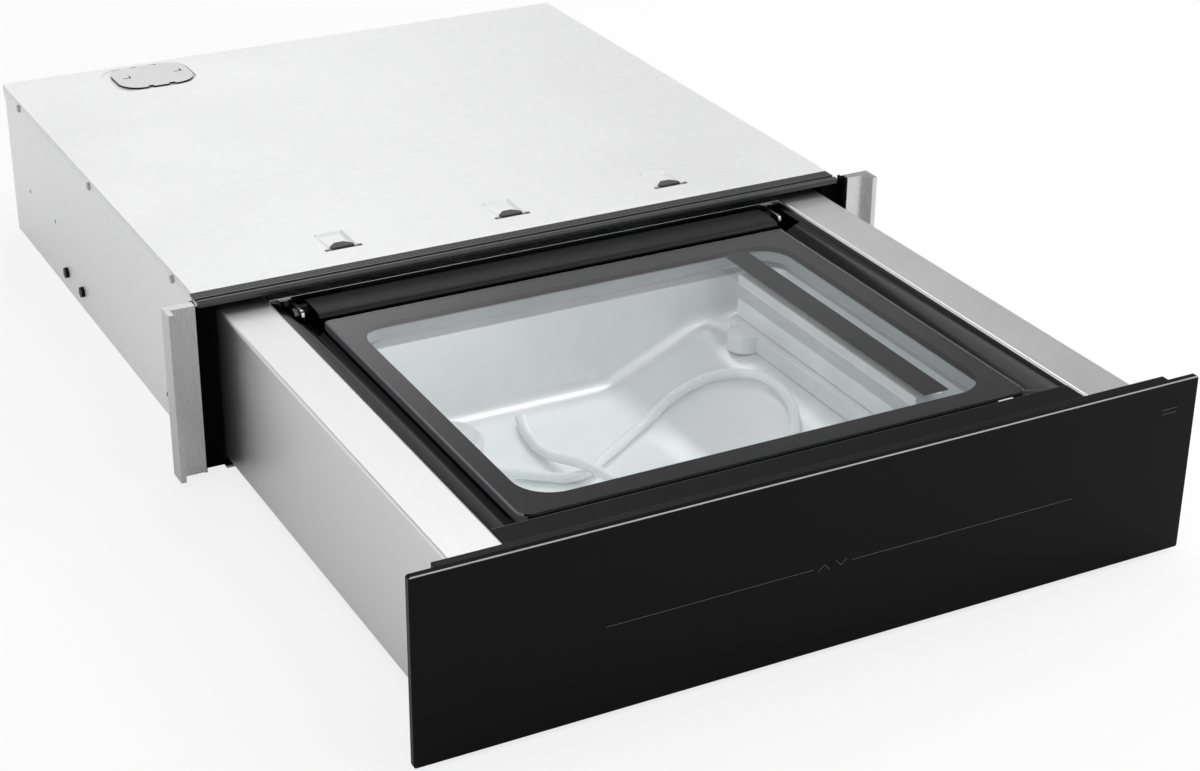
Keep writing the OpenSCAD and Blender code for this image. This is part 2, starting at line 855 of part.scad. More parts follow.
// Hollow of the pocket, or with grow its wall's underside
module pocket(grow) {
    hw = box_in - pocket_rim;
    stacked(concat(
        [pocket_level(deck_top + cut, hw, pocket_rim_r, grow)],
        [for (i = [0:shoulder_steps]) let (a = shoulder_turn * i / shoulder_steps)
            pocket_level(deck_top - shoulder_r * (1 - cos(a)) - grow, hw - shoulder_r * sin(a),
                         pocket_rim_r, grow)],
        [pocket_level(crease_z - grow, crease_x, pocket_r, grow),
         pocket_level(pocket_floor - grow, lid_w / 2 + pocket_foot, pocket_r, grow)]));
}

module chamber_hole() {
    grow = chamber_t + near_gap;
    translate([0, 0, deck_low - cut]) linear_extrude(height = deck_top - deck_low)
        rounded(-chamber_hw - grow, chamber_hw + grow, chamber_front - grow, chamber_back + grow, chamber_r);
}

module deck_surround() {
    color([0.08, 0.08, 0.08]) drawn_out() difference() {
        block(-box_in, box_in, deck_front, rear_plate_y, deck_low, deck_top);
        pocket(0);
        difference() {
            block(-box_in + deck_wall, box_in - deck_wall, deck_front + deck_wall, trough_front - deck_wall,
                  deck_low - cut, deck_top - deck_wall);
            pocket(deck_wall);
        }
        chamber_hole();
        block(-trough_hw, trough_hw, trough_front, rear_plate_y + cut, trough_low, deck_top + cut);
    }
}

module rear_plate() {
    color("gray") drawn_out() difference() {
        block(-box_in, box_in, rear_plate_y, rear_plate_y + rear_plate_t, pan_top, box_top);
        along_y(floor_line_x, rear_plate_y - cut, rear_plate_y + rear_plate_t + cut, floor_line_z,
                line_r + near_gap);
        along_y(side_line_x, rear_plate_y - cut, rear_plate_y + rear_plate_t + cut, port_z,
                line_r + near_gap);
    }
}

guide_x = 164;
guide_w = 12;
guide_t = 3;
guide_gap = 1.5;

// Metal tab that stands in the gutter, in front of the lid's right corner
module lid_guides() {
    y = pocket_front + guide_gap;
    color("silver") drawn_out()
        block(guide_x, guide_x + guide_w, y, y + guide_t, pocket_floor, lid_top - near_gap);
}

// Vacuum chamber: a pressed basin with a ramp up to the ledge of the seal bar
flange_inset = 2;
ramp_foot_x = 24;
ramp_top_x = 102;
crest_r = 8;
crest_steps = 3;
port_y = chamber_back - 88;
port_z = chamber_floor + 22;
port_r = 5;
suction_x = -126;
suction_y = chamber_back - 34;
suction_r = 30;
suction_t = 6;
suction_lift = 5;
suction_neck_r = 10;
suction_hole_r = 6;

// The crest of the ramp is an arc that runs smoothly into the ramp and the ledge.
module basin(grow) {
    hw = chamber_hw - chamber_r;
    floor_z = chamber_floor + chamber_r;
    shelf_z = ledge_z + chamber_r;
    over_z = rim_z + 2 * chamber_r;
    arc_r = crest_r + chamber_r;
    slope = atan2(ledge_h, ramp_top_x - ramp_foot_x);
    arc_x = ramp_top_x + arc_r * tan(slope / 2);
    crest = [for (i = [crest_steps:-1:0]) let (a = 90 + slope * i / crest_steps)
        [arc_x + arc_r * cos(a), shelf_z - arc_r + arc_r * sin(a)]];
    translate([0, chamber_back - chamber_r, 0]) minkowski() {
        rotate([90, 0, 0]) linear_extrude(height = chamber_d - 2 * chamber_r)
            polygon(concat([[-hw, over_z], [-hw, floor_z], [ramp_foot_x, floor_z]], crest,
                           [[hw, shelf_z], [hw, over_z]]));
        sphere(r = chamber_r + grow, $fn = 24);
    }
}

module chamber() {
    flange_hw = lid_w / 2 - flange_inset;
    color("lightsteelblue") drawn_out() difference() {
        union() {
            translate([0, 0, pocket_floor]) linear_extrude(height = chamber_t)
                front_rounded(flange_hw, lid_front_y + flange_inset, lid_back_y - flange_inset, chamber_r);
            intersection() {
                basin(chamber_t);
                block(-flange_hw, flange_hw, lid_front_y, lid_back_y, 0, rim_z);
            }
        }
        basin(0);
        along_x(-flange_hw, -chamber_hw + chamber_r, port_y, port_z, port_r + pin_gap);
        translate([suction_x, suction_y, 0]) cylinder(h = chamber_floor + chamber_t, r = suction_hole_r);
    }
}

// Low round cover that stands on a neck over the suction opening
module suction_cover() {
    low = suction_lift;
    high = suction_lift + suction_t;
    bevel = suction_t / 2;
    color("lightgray") drawn_out() translate([suction_x, suction_y, chamber_floor + near_gap])
        rotate_extrude() polygon([[0, 0], [suction_neck_r, 0], [suction_neck_r, low], [suction_r, low],
                                  [suction_r, high - bevel], [suction_r - bevel, high], [0, high]]);
}

// Hose port in the left wall of the chamber
port_flange_r = 9;
port_flange_t = 2.5;
port_bore_r = 2.2;

port_out_x = -chamber_hw - chamber_t - port_flange_t;

// The hose meets the port's inner end face to face.
module hose_port() {
    wall_x = -chamber_hw + near_gap;
    tip_x = hose_points[0].x;
    color("dimgray") drawn_out() difference() {
        union() {
            along_x(port_out_x, tip_x, port_y, port_z, port_r);
            along_x(wall_x, wall_x + port_flange_t, port_y, port_z, port_flange_r);
        }
        along_x(port_out_x - cut, tip_x + cut, port_y, port_z, port_bore_r);
    }
}

// Seal bar on two lift rods that run in bores of its base, which has a round boss beside the bar
seal_x = 137;
seal_back = chamber_back - 24;
seal_front = seal_back - seal_len;
seal_base_w = 34;
seal_base_h = 14;
seal_base_end = 3;
seal_base_r = 6;
boss_r = 13;
boss_in = 20;
boss_from_back = 27;
rod_shares = [0.12, 0.88];
rod_r = 4;
rod_len = 14;
strip_w = 5;
strip_t = 0.4;
seal_body_low = ledge_z + near_gap + seal_base_h + near_gap;

module seal_base() {
    color("silver") drawn_out() difference() {
        translate([0, 0, ledge_z + near_gap]) linear_extrude(height = seal_base_h) {
            rounded(seal_x - seal_base_w / 2, seal_x + seal_base_w / 2, seal_front - seal_base_end,
                    seal_back + seal_base_end, seal_base_r);
            translate([seal_x - boss_in, seal_back - boss_from_back]) circle(r = boss_r);
        }
        for (s = rod_shares) translate([seal_x, seal_front + s * seal_len, ledge_z])
            cylinder(h = seal_base_h + cut, r = rod_r + pin_gap);
    }
}

module seal_bar() {
    color("silver") drawn_out() {
        block(seal_x - seal_w / 2, seal_x + seal_w / 2, seal_front, seal_back, seal_body_low, seal_top);
        for (s = rod_shares) translate([seal_x, seal_front + s * seal_len, seal_body_low - rod_len])
            cylinder(h = rod_len, r = rod_r);
    }
}

module heating_strip() {
    color("peru") drawn_out()
        block(seal_x - strip_w / 2, seal_x + strip_w / 2, seal_front, seal_back, seal_top,
              seal_top + strip_t);
}

// Lid hinge: brackets, pins and spring cases stay on the drawer, and the arms turn with the lid
bracket_front = 375;
bracket_nose_r = 5;
bracket_top = box_top - 1;
pin_head_r = 5;
pin_head_t = 1.5;
pin_hold = 16;
arm_w = 34;

module hinge_bracket() {
    color("dimgray") drawn_out() difference() {
        union() {
            translate([bracket_x, 0, 0]) rotate([90, 0, 90]) linear_extrude(height = bracket_t) {
                translate([bracket_front, trough_low])
                    square([rear_plate_y - bracket_front, bracket_top - bracket_nose_r - trough_low]);
                translate([bracket_front + bracket_nose_r, trough_low])
                    square([rear_plate_y - bracket_front - bracket_nose_r, bracket_top - trough_low]);
                translate([bracket_front + bracket_nose_r, bracket_top - bracket_nose_r])
                    circle(r = bracket_nose_r);
            }
            block(bracket_x, bracket_x + bracket_flange_w, rear_plate_y - bracket_t, rear_plate_y,
                  trough_low, bracket_top);
        }
        along_x(bracket_x - cut, bracket_x + bracket_t + cut, hinge_y, hinge_z, pin_r + pin_gap);
    }
}

module hinge_bracket_right() {
    hinge_bracket();
}

module hinge_bracket_left() {
    on_left() hinge_bracket();
}

module hinge_pins() {
    color("silver") drawn_out() both_sides() {
        along_x(lid_w / 2 - pin_hold, bracket_x + bracket_t, hinge_y, hinge_z, pin_r);
        along_x(bracket_x + bracket_t, bracket_x + bracket_t + pin_head_t, hinge_y, hinge_z, pin_head_r);
    }
}

module spring_cases() {
    color("black") drawn_out() both_sides() difference() {
        along_x(bracket_x - case_w, bracket_x, hinge_y, hinge_z, knuckle_r);
        along_x(bracket_x - case_w - cut, bracket_x + cut, hinge_y, hinge_z, pin_r + pin_gap);
    }
}

module hinge_arm() {
    arm_out = lid_w / 2;
    color("dimgray") drawn_out() difference() {
        union() {
            along_x(arm_out - arm_w, arm_out, hinge_y, hinge_z, knuckle_r);
            block(arm_out - arm_w, arm_out, lid_back_y, hinge_y, frame_low + bracket_t, hinge_z);
        }
        along_x(arm_out - pin_hold - cut, arm_out + cut, hinge_y, hinge_z, pin_r + pin_gap);
    }
}

module hinge_arm_right() {
    hinge_arm();
}

module hinge_arm_left() {
    on_left() hinge_arm();
}

// Curved cover over the hinge: flat at the back, rounding down towards the glass
cover_t = 1.5;
cover_front = 364.5;
cover_bend = 374;
cover_back = 394;
cover_drop = 4;
cover_over = 1;
cover_steps = 6;
cover_rise = [for (i = [cover_steps:-1:0]) 90 * i / cover_steps];

module hinge_cover() {
    bend_d = cover_bend - cover_front;
    color([0.2, 0.2, 0.2]) drawn_out() bar_along_x(lid_w / 2 + cover_over)
        polygon(concat(
            [for (a = cover_rise) [cover_bend - bend_d * sin(a), box_top - cover_drop * (1 - cos(a))]],
            [[cover_back, box_top], [cover_back, box_top - cover_t]],
            [for (i = [cover_steps:-1:0]) let (a = cover_rise[i])
                [cover_bend - (bend_d - cover_t) * sin(a), box_top - cover_t - cover_drop * (1 - cos(a))]]));
}

// Lid
gasket_w = 8;
gasket_inset = 3;
joggle_w = 4;
joggle_h = 5;
joggle_len = 41;
joggle_slope = 14;
counter_w = 22;
counter_clear = 0.3;

module lid_glass() {
    color([0.5, 0.5, 0.5, 0.6]) drawn_out() translate([0, lid_front_y, lid_low])
        linear_extrude(height = lid_t) front_rounded(lid_w / 2, 0, lid_d, lid_corner_r);
}

// The frame's lower outer edge steps in towards the hinge.
module lid_frame() {
    color("black") drawn_out() difference() {
        translate([0, lid_front_y, frame_low]) linear_extrude(height = lid_frame_h) difference() {
            front_rounded(lid_w / 2 - near_gap, near_gap, lid_d, lid_corner_r);
            rounded(-lid_w / 2 + lid_frame_w, lid_w / 2 - lid_frame_w, lid_frame_w, lid_d - lid_frame_w,
                    lid_corner_r);
        }
        both_sides() translate([lid_w / 2 - joggle_w, lid_back_y, frame_low]) rotate([90, 0, 90])
            linear_extrude(height = joggle_w + cut)
                polygon([[cut, -cut], [-joggle_len - joggle_slope, -cut], [-joggle_len - joggle_slope, 0],
                         [-joggle_len, joggle_h], [cut, joggle_h]]);
    }
}

module lid_gasket() {
    inner = gasket_inset + gasket_w;
    color("lightgray") drawn_out() translate([0, lid_front_y, rim_z])
        linear_extrude(height = frame_low - rim_z) difference() {
            front_rounded(lid_w / 2 - gasket_inset, gasket_inset, lid_d - gasket_inset, lid_corner_r);
            rounded(-lid_w / 2 + inner, lid_w / 2 - inner, inner, lid_d - inner, lid_corner_r);
        }
}

module counter_bar() {
    color("lightgray") drawn_out()
        block(seal_x - counter_w / 2, seal_x + counter_w / 2, seal_front, seal_back,
              seal_top + strip_t + seal_lift + counter_clear, lid_low);
}

// Vacuum pump and electrics in the bay behind the chamber
bay_front = rear_plate_y + rear_plate_t;
bay_back = box_back - box_t;
bay_mid = (bay_front + bay_back) / 2;
foot_r = 7;
foot_h = 9;
pump_x0 = -100;
pump_w = 80;
pump_d = 60;
pump_h = 52;
pump_x1 = pump_x0 + pump_w;
pump_z = pan_top + foot_h;
head_r = 15;
head_h = 30;
head_shares = [0.26, 0.74];
rib_r = 19;
rib_t = 2;
rib_pitch = 5;
rib_count = 5;
motor_len = 96;
motor_r = 29;
motor_neck_r = 24;
motor_neck = 12;
motor_x1 = pump_x1 + motor_len;
shaft_r = 4;
shaft_grip = 30;
shaft_z = pump_z + pump_h / 2;

module pump_body() {
    color("lightgray") drawn_out() difference() {
        block(pump_x0, pump_x1, bay_mid - pump_d / 2, bay_mid + pump_d / 2, pump_z, pump_z + pump_h);
        along_x(pump_x1 - shaft_grip - cut, pump_x1 + cut, bay_mid, shaft_z, shaft_r + pin_gap);
    }
}

module pump_heads() {
    color("silver") drawn_out() for (s = head_shares)
        translate([pump_x0 + s * pump_w, bay_mid, pump_z + pump_h]) {
            cylinder(h = head_h, r = head_r);
            for (i = [1:rib_count]) translate([0, 0, i * rib_pitch - rib_t]) cylinder(h = rib_t, r = rib_r);
        }
}

module pump_motor() {
    color("dimgray") drawn_out() difference() {
        union() {
            along_x(pump_x1, motor_x1, bay_mid, shaft_z, motor_neck_r);
            along_x(pump_x1 + motor_neck, motor_x1 - motor_neck, bay_mid, shaft_z, motor_r);
        }
        along_x(pump_x1 - cut, motor_x1 + cut, bay_mid, shaft_z, shaft_r + pin_gap);
    }
}

fan_gap = 3;
fan_w = 10;
fan_r = 27;
fan_hub_r = 9;
fan_pitch = 25;
blade_count = 9;
blade_t = 1.5;
blade_inset = 1;
fan_x0 = motor_x1 + fan_gap;

// Shaft, hub and pitched blades turn as one piece.
module fan_rotor() {
    color("white") drawn_out() {
        along_x(pump_x1 - shaft_grip, fan_x0, bay_mid, shaft_z, shaft_r);
        along_x(fan_x0, fan_x0 + fan_w, bay_mid, shaft_z, fan_hub_r);
        translate([fan_x0 + fan_w / 2, bay_mid, shaft_z]) for (i = [0:blade_count - 1])
            rotate([i * 360 / blade_count, 0, 0]) rotate([0, 0, fan_pitch])
                block(-blade_t / 2, blade_t / 2, -fan_w / 2 + blade_inset, fan_w / 2 - blade_inset,
                      fan_hub_r - blade_t, fan_r);
    }
}

module pump_feet() {
    x_far = pump_w - foot_r;
    y_far = pump_d / 2 - foot_r;
    color("black") drawn_out() for (x = [foot_r, x_far], y = [-y_far, y_far])
        translate([pump_x0 + x, bay_mid + y, pan_top]) cylinder(h = foot_h, r = foot_r);
}

core_x0 = 118;
core_w = 58;
core_d = 40;
core_h = 50;
coil_grow = 8;
coil_inset = 12;

module transformer() {
    color("sienna") drawn_out() {
        block(core_x0, core_x0 + core_w, bay_mid - core_d / 2, bay_mid + core_d / 2, pan_top,
              pan_top + core_h);
        block(core_x0 + coil_inset, core_x0 + core_w - coil_inset, bay_mid - core_d / 2 - coil_grow,
              bay_mid + core_d / 2 + coil_grow, pan_top + coil_inset, pan_top + core_h - coil_inset);
    }
}

power_x0 = 104;
power_w = 106;
power_lift = 58;
power_margin = 4;
post_r = 3;
capacitor_r = 8;
capacitor_h = 20;
capacitor_shares = [0.16, 0.36];
relay_share = 0.55;
relay_w = 34;
relay_h = 16;

module power_board() {
    z = pan_top + power_lift;
    y0 = bay_front + power_margin;
    y1 = bay_back - power_margin;
    color("darkgreen") drawn_out() {
        block(power_x0, power_x0 + power_w, y0, y1, z, z + board_t);
        for (x = [2 * post_r, power_w - 2 * post_r], y = [y0 + 2 * post_r, y1 - 2 * post_r])
            translate([power_x0 + x, y, pan_top]) cylinder(h = power_lift, r = post_r);
        for (s = capacitor_shares) translate([power_x0 + s * power_w, bay_mid, z + board_t])
            cylinder(h = capacitor_h, r = capacitor_r);
        block(power_x0 + relay_share * power_w, power_x0 + relay_share * power_w + relay_w,
              bay_mid - relay_w / 2, bay_mid + relay_w / 2, z + board_t, z + board_t + relay_h);
    }
}

// Valve block with its coil, and the two lines that run to it from the chamber
valve_w = 28;
valve_h = 46;
coil_r = 11;
coil_h = 24;
line_r = 4;
line_bore_r = 2.5;
line_bend_r = 9;
side_line_x = port_out_x - line_bend_r;
floor_line_x = suction_x;
floor_line_z = pan_top + 7.5;
pump_line_z = pump_z + 14;

module solenoid_valve() {
    color("goldenrod") drawn_out() {
        block(suction_x - valve_w / 2, suction_x + valve_w / 2, bay_mid - valve_w / 2,
              bay_mid + valve_w / 2, pan_top, pan_top + valve_h);
        translate([suction_x, bay_mid, pan_top + valve_h]) cylinder(h = coil_h, r = coil_r);
    }
}

module tube(len) {
    linear_extrude(height = len) difference() {
        circle(r = line_r);
        circle(r = line_bore_r);
    }
}

// A quarter bend: it leaves the origin along +X and ends pointing along +Y.
module elbow() {
    translate([0, line_bend_r, 0]) rotate([0, 0, -90]) rotate_extrude(angle = 90)
        translate([line_bend_r, 0]) difference() {
            circle(r = line_r);
            circle(r = line_bore_r);
        }
}

module vacuum_line() {
    valve_front = bay_mid - valve_w / 2;
    valve_left = suction_x - valve_w / 2;
    valve_right = suction_x + valve_w / 2;
    color("black") drawn_out() {
        translate([floor_line_x, suction_y, floor_line_z + line_bend_r]) rotate([0, 90, 0]) elbow();
        translate([floor_line_x, suction_y + line_bend_r, floor_line_z]) rotate([-90, 0, 0])
            tube(valve_front - suction_y - line_bend_r);
        translate([port_out_x, port_y, port_z]) mirror([1, 0, 0]) elbow();
        translate([side_line_x, port_y + line_bend_r, port_z]) rotate([-90, 0, 0])
            tube(bay_mid - port_y - 2 * line_bend_r);
        translate([side_line_x + line_bend_r, bay_mid, port_z]) rotate([0, 0, 180]) elbow();
        translate([side_line_x + line_bend_r, bay_mid, port_z]) rotate([0, 90, 0])
            tube(valve_left - side_line_x - line_bend_r);
        translate([valve_right, bay_mid, pump_line_z]) rotate([0, 90, 0]) tube(pump_x0 - valve_right);
    }
}

// Silicone hose in the chamber, from its port over the floor, up the ramp and back to its loose end
hose_r = hose_dia / 2;
hose_sides = 10;
hose_points = [
    [-160, -152, 50], [-145, -152, 50], [-128, -154, 45], [-112, -157, 37.5], [-97, -162, 33],
    [-82, -173, 32.2], [-68, -182, 32.2], [-50, -181, 32.2], [-32, -168, 32.2], [-12, -155, 32.2],
    [10, -140, 32.2], [27, -131, 34], [45, -125, 41.2], [63, -126, 50], [79, -133, 57.8],
    [92, -147, 64.1], [100, -166, 68], [102, -187, 69], [99, -209, 67.5], [90, -231, 63.2],
    [74, -250, 55.4], [52, -262, 44.7], [28, -266, 34.4], [4, -261, 32.2], [-16, -248, 32.2],
    [-32, -230, 33.2], [-43, -212, 36.8], [-50, -197, 39.8], [-55, -184, 40.6], [-60, -170, 38.8],
    [-64, -154, 34.8], [-66, -136, 32.4], [-65, -118, 32.2], [-62, -100, 32.2], [-57, -84, 32.8]];

function unit(v) = v / norm(v);
function heading(i) = unit(hose_points[min(i + 1, len(hose_points) - 1)] - hose_points[max(i - 1, 0)]);
function across(i) = unit(cross(heading(i), [0, 0, 1]));
function ring(i) = let (side = across(i), up = cross(side, heading(i)))
    [for (k = [0:hose_sides - 1]) let (a = 360 * k / hose_sides)
        hose_points[i] + hose_r * (cos(a) * side + sin(a) * up)];

module hose() {
    last = len(hose_points) - 1;
    walls = [for (i = [0:last - 1], k = [0:hose_sides - 1])
        let (a = i * hose_sides + k, b = i * hose_sides + (k + 1) % hose_sides)
            each [[a, b, a + hose_sides], [b, b + hose_sides, a + hose_sides]]];
    start_cap = [[for (k = [hose_sides - 1:-1:0]) k]];
    end_cap = [[for (k = [0:hose_sides - 1]) last * hose_sides + k]];
    color("white") polyhedron(points = [for (i = [0:last]) each ring(i)],
                              faces = concat(walls, start_cap, end_cap));
}

base_pan();
top_cover();
rear_panel();
outlet_cover();
stack_buffers();
front_frame();
top_rail();
trim_left();
trim_right();
trim_screws();
cover_screws();
side_plugs();
cable_gland();
fixed_rail_left();
fixed_rail_right();
latch_housing();
latch_plunger();
middle_rail_left();
middle_rail_right();
drawer_pan();
drawer_back();
side_box_left();
side_box_right();
inner_rail_left();
inner_rail_right();
glass_front();
front_carrier();
control_panel();
control_board();
deck_surround();
rear_plate();
lid_guides();
chamber();
suction_cover();
hose_port();
seal_base();
seal_bar();
heating_strip();
hinge_bracket_left();
hinge_bracket_right();
hinge_pins();
spring_cases();
pump_body();
pump_heads();
pump_motor();
fan_rotor();
pump_feet();
transformer();
power_board();
solenoid_valve();
vacuum_line();
lid_glass();
lid_frame();
lid_gasket();
counter_bar();
hinge_cover();
hinge_arm_left();
hinge_arm_right();
hose();
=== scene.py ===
import json
import math

import bmesh
import bpy
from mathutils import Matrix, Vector

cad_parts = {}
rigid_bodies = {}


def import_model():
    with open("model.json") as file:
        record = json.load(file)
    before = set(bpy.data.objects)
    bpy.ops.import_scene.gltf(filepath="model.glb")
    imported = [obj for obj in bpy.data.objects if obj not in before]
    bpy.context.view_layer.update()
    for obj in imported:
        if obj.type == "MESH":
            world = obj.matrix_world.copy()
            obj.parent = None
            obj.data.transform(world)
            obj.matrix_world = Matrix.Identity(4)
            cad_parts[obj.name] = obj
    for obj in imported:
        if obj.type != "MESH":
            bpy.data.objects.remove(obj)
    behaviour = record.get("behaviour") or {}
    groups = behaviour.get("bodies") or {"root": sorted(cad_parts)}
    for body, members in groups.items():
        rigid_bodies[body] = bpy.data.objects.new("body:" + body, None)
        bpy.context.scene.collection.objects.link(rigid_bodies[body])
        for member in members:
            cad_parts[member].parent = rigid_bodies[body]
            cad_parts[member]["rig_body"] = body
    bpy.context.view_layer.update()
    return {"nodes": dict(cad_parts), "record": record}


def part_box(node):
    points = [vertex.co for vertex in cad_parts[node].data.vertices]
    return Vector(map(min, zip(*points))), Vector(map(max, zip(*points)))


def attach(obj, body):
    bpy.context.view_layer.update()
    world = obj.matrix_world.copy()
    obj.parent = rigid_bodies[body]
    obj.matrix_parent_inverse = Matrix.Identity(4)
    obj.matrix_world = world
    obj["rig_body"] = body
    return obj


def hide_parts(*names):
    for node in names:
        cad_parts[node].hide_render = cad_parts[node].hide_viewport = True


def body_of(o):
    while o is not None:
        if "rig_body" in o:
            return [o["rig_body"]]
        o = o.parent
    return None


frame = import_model()
nodes = frame["nodes"]
slot_of = {row["node"]: row["material_slot"] for row in frame["record"]["subparts"]}

# Camera, at the photograph's place and angle

EYE = (-0.7473, -1.5042, 0.8433)
TURN = (63.6017, -0.4672, -27.8391)
LENS_MM = 71.58
SENSOR_MM = 36.0

camera_data = bpy.data.cameras.new("camera")
camera_data.lens = LENS_MM
camera_data.sensor_width = SENSOR_MM
camera_data.clip_start = 0.05
camera_data.clip_end = 60.0
camera = bpy.data.objects.new("camera", camera_data)
camera.location = EYE
camera.rotation_euler = [math.radians(a) for a in TURN]
bpy.context.scene.collection.objects.link(camera)
bpy.context.scene.camera = camera

# The hose follows the same points as its solid in part.scad

HOSE_DIA = 0.0075
HOSE_POINTS_MM = [
    (-160, -152, 50), (-145, -152, 50), (-128, -154, 45), (-112, -157, 37.5), (-97, -162, 33),
    (-82, -173, 32.2), (-68, -182, 32.2), (-50, -181, 32.2), (-32, -168, 32.2), (-12, -155, 32.2),
    (10, -140, 32.2), (27, -131, 34), (45, -125, 41.2), (63, -126, 50), (79, -133, 57.8),
    (92, -147, 64.1), (100, -166, 68), (102, -187, 69), (99, -209, 67.5), (90, -231, 63.2),
    (74, -250, 55.4), (52, -262, 44.7), (28, -266, 34.4), (4, -261, 32.2), (-16, -248, 32.2),
    (-32, -230, 33.2), (-43, -212, 36.8), (-50, -197, 39.8), (-55, -184, 40.6), (-60, -170, 38.8),
    (-64, -154, 34.8), (-66, -136, 32.4), (-65, -118, 32.2), (-62, -100, 32.2), (-57, -84, 32.8)]
HOSE_POINTS = [Vector(p) / 1000 for p in HOSE_POINTS_MM]

hose_curve = bpy.data.curves.new("hose_tube", "CURVE")
hose_curve.dimensions = "3D"
hose_curve.bevel_depth = HOSE_DIA / 2
hose_curve.bevel_resolution = 5
hose_curve.resolution_u = 6
hose_curve.use_fill_caps = True
spline = hose_curve.splines.new("BEZIER")
spline.bezier_points.add(len(HOSE_POINTS) - 1)
for knot, place in zip(spline.bezier_points, HOSE_POINTS):
    knot.co = place
    knot.handle_left_type = "AUTO"
    knot.handle_right_type = "AUTO"
hose = bpy.data.objects.new("hose_tube", hose_curve)
bpy.context.scene.collection.objects.link(hose)


# Helpers for meshes


def add_object(name, mesh):
    obj = bpy.data.objects.new(name, mesh)
    bpy.context.scene.collection.objects.link(obj)
    return obj


def from_bmesh(name, bm, smooth=True):
    mesh = bpy.data.meshes.new(name)
    bmesh.ops.recalc_face_normals(bm, faces=bm.faces)
    bm.to_mesh(mesh)
    bm.free()
    for face in mesh.polygons:
        face.use_smooth = smooth
    return add_object(name, mesh)


def rounded_outline(x0, x1, y0, y1, radii, steps=8):
    """Points of a rectangle with round corners: front left, front right, back right, back left."""
    corners = [(x0, y0, 180), (x1, y0, 270), (x1, y1, 0), (x0, y1, 90)]
    points = []
    for (x, y, start), r in zip(corners, radii):
        cx = x + r if x == x0 else x - r
        cy = y + r if y == y0 else y - r
        for k in range(steps + 1):
            a = math.radians(start + 90 * k / steps)
            points.append((cx + r * math.cos(a), cy + r * math.sin(a)))
    return points


def at_height(outline, z):
    return [(x, y, z) for x, y in outline]


def at_depth(outline, y):
    return [(x, y, z) for x, z in outline]


def loft(name, rings, smooth=True):
    """A closed skin over rings of points that all have the same number of points."""
    bm = bmesh.new()
    made = [[bm.verts.new(p) for p in ring] for ring in rings]
    count = len(rings[0])
    for low, high in zip(made, made[1:]):
        for k in range(count):
            n = (k + 1) % count
            bm.faces.new((low[k], low[n], high[n], high[k]))
    bm.faces.new(list(reversed(made[0])))
    bm.faces.new(made[-1])
    return from_bmesh(name, bm, smooth)


def plate(name, outline, z0, z1):
    return loft(name, [at_height(outline, z0), at_height(outline, z1)], smooth=False)


def closed_ring(name, rings):
    """A closed skin whose last ring of points meets its first, as in a frame."""
    bm = bmesh.new()
    made = [[bm.verts.new(p) for p in ring] for ring in rings]
    count = len(rings[0])
    for k in range(len(made)):
        low, high = made[k], made[(k + 1) % len(made)]
        for i in range(count):
            n = (i + 1) % count
            bm.faces.new((low[i], low[n], high[n], high[i]))
    return from_bmesh(name, bm, smooth=False)


def flat_ring(name, outer, inner, z0, z1):
    """A flat plate between two outlines that have the same number of points."""
    return closed_ring(name, [at_height(outer, z0), at_height(outer, z1), at_height(inner, z1),
                              at_height(inner, z0)])


def sharp_by_angle(obj, degrees):
    """Smooth shading that keeps the edges sharper than the angle."""
    bm = bmesh.new()
    bm.from_mesh(obj.data)
    for edge in bm.edges:
        if len(edge.link_faces) == 2 and edge.calc_face_angle() > math.radians(degrees):
            edge.smooth = False
    for face in bm.faces:
        face.smooth = True
    bm.to_mesh(obj.data)
    bm.free()


def apply_modifiers(obj):
    deps = bpy.context.evaluated_depsgraph_get()
    mesh = bpy.data.meshes.new_from_object(obj.evaluated_get(deps))
    obj.modifiers.clear()
    old = obj.data
    obj.data = mesh
    bpy.data.meshes.remove(old)


def carve(obj, cutter):
    """Cuts the cutter out of the object and throws the cutter away."""
    cut = obj.modifiers.new("cut", "BOOLEAN")
    cut.operation = "DIFFERENCE"
    cut.solver = "EXACT"
    cut.object = cutter
    apply_modifiers(obj)
    bpy.data.objects.remove(cutter)


# Helpers for materials


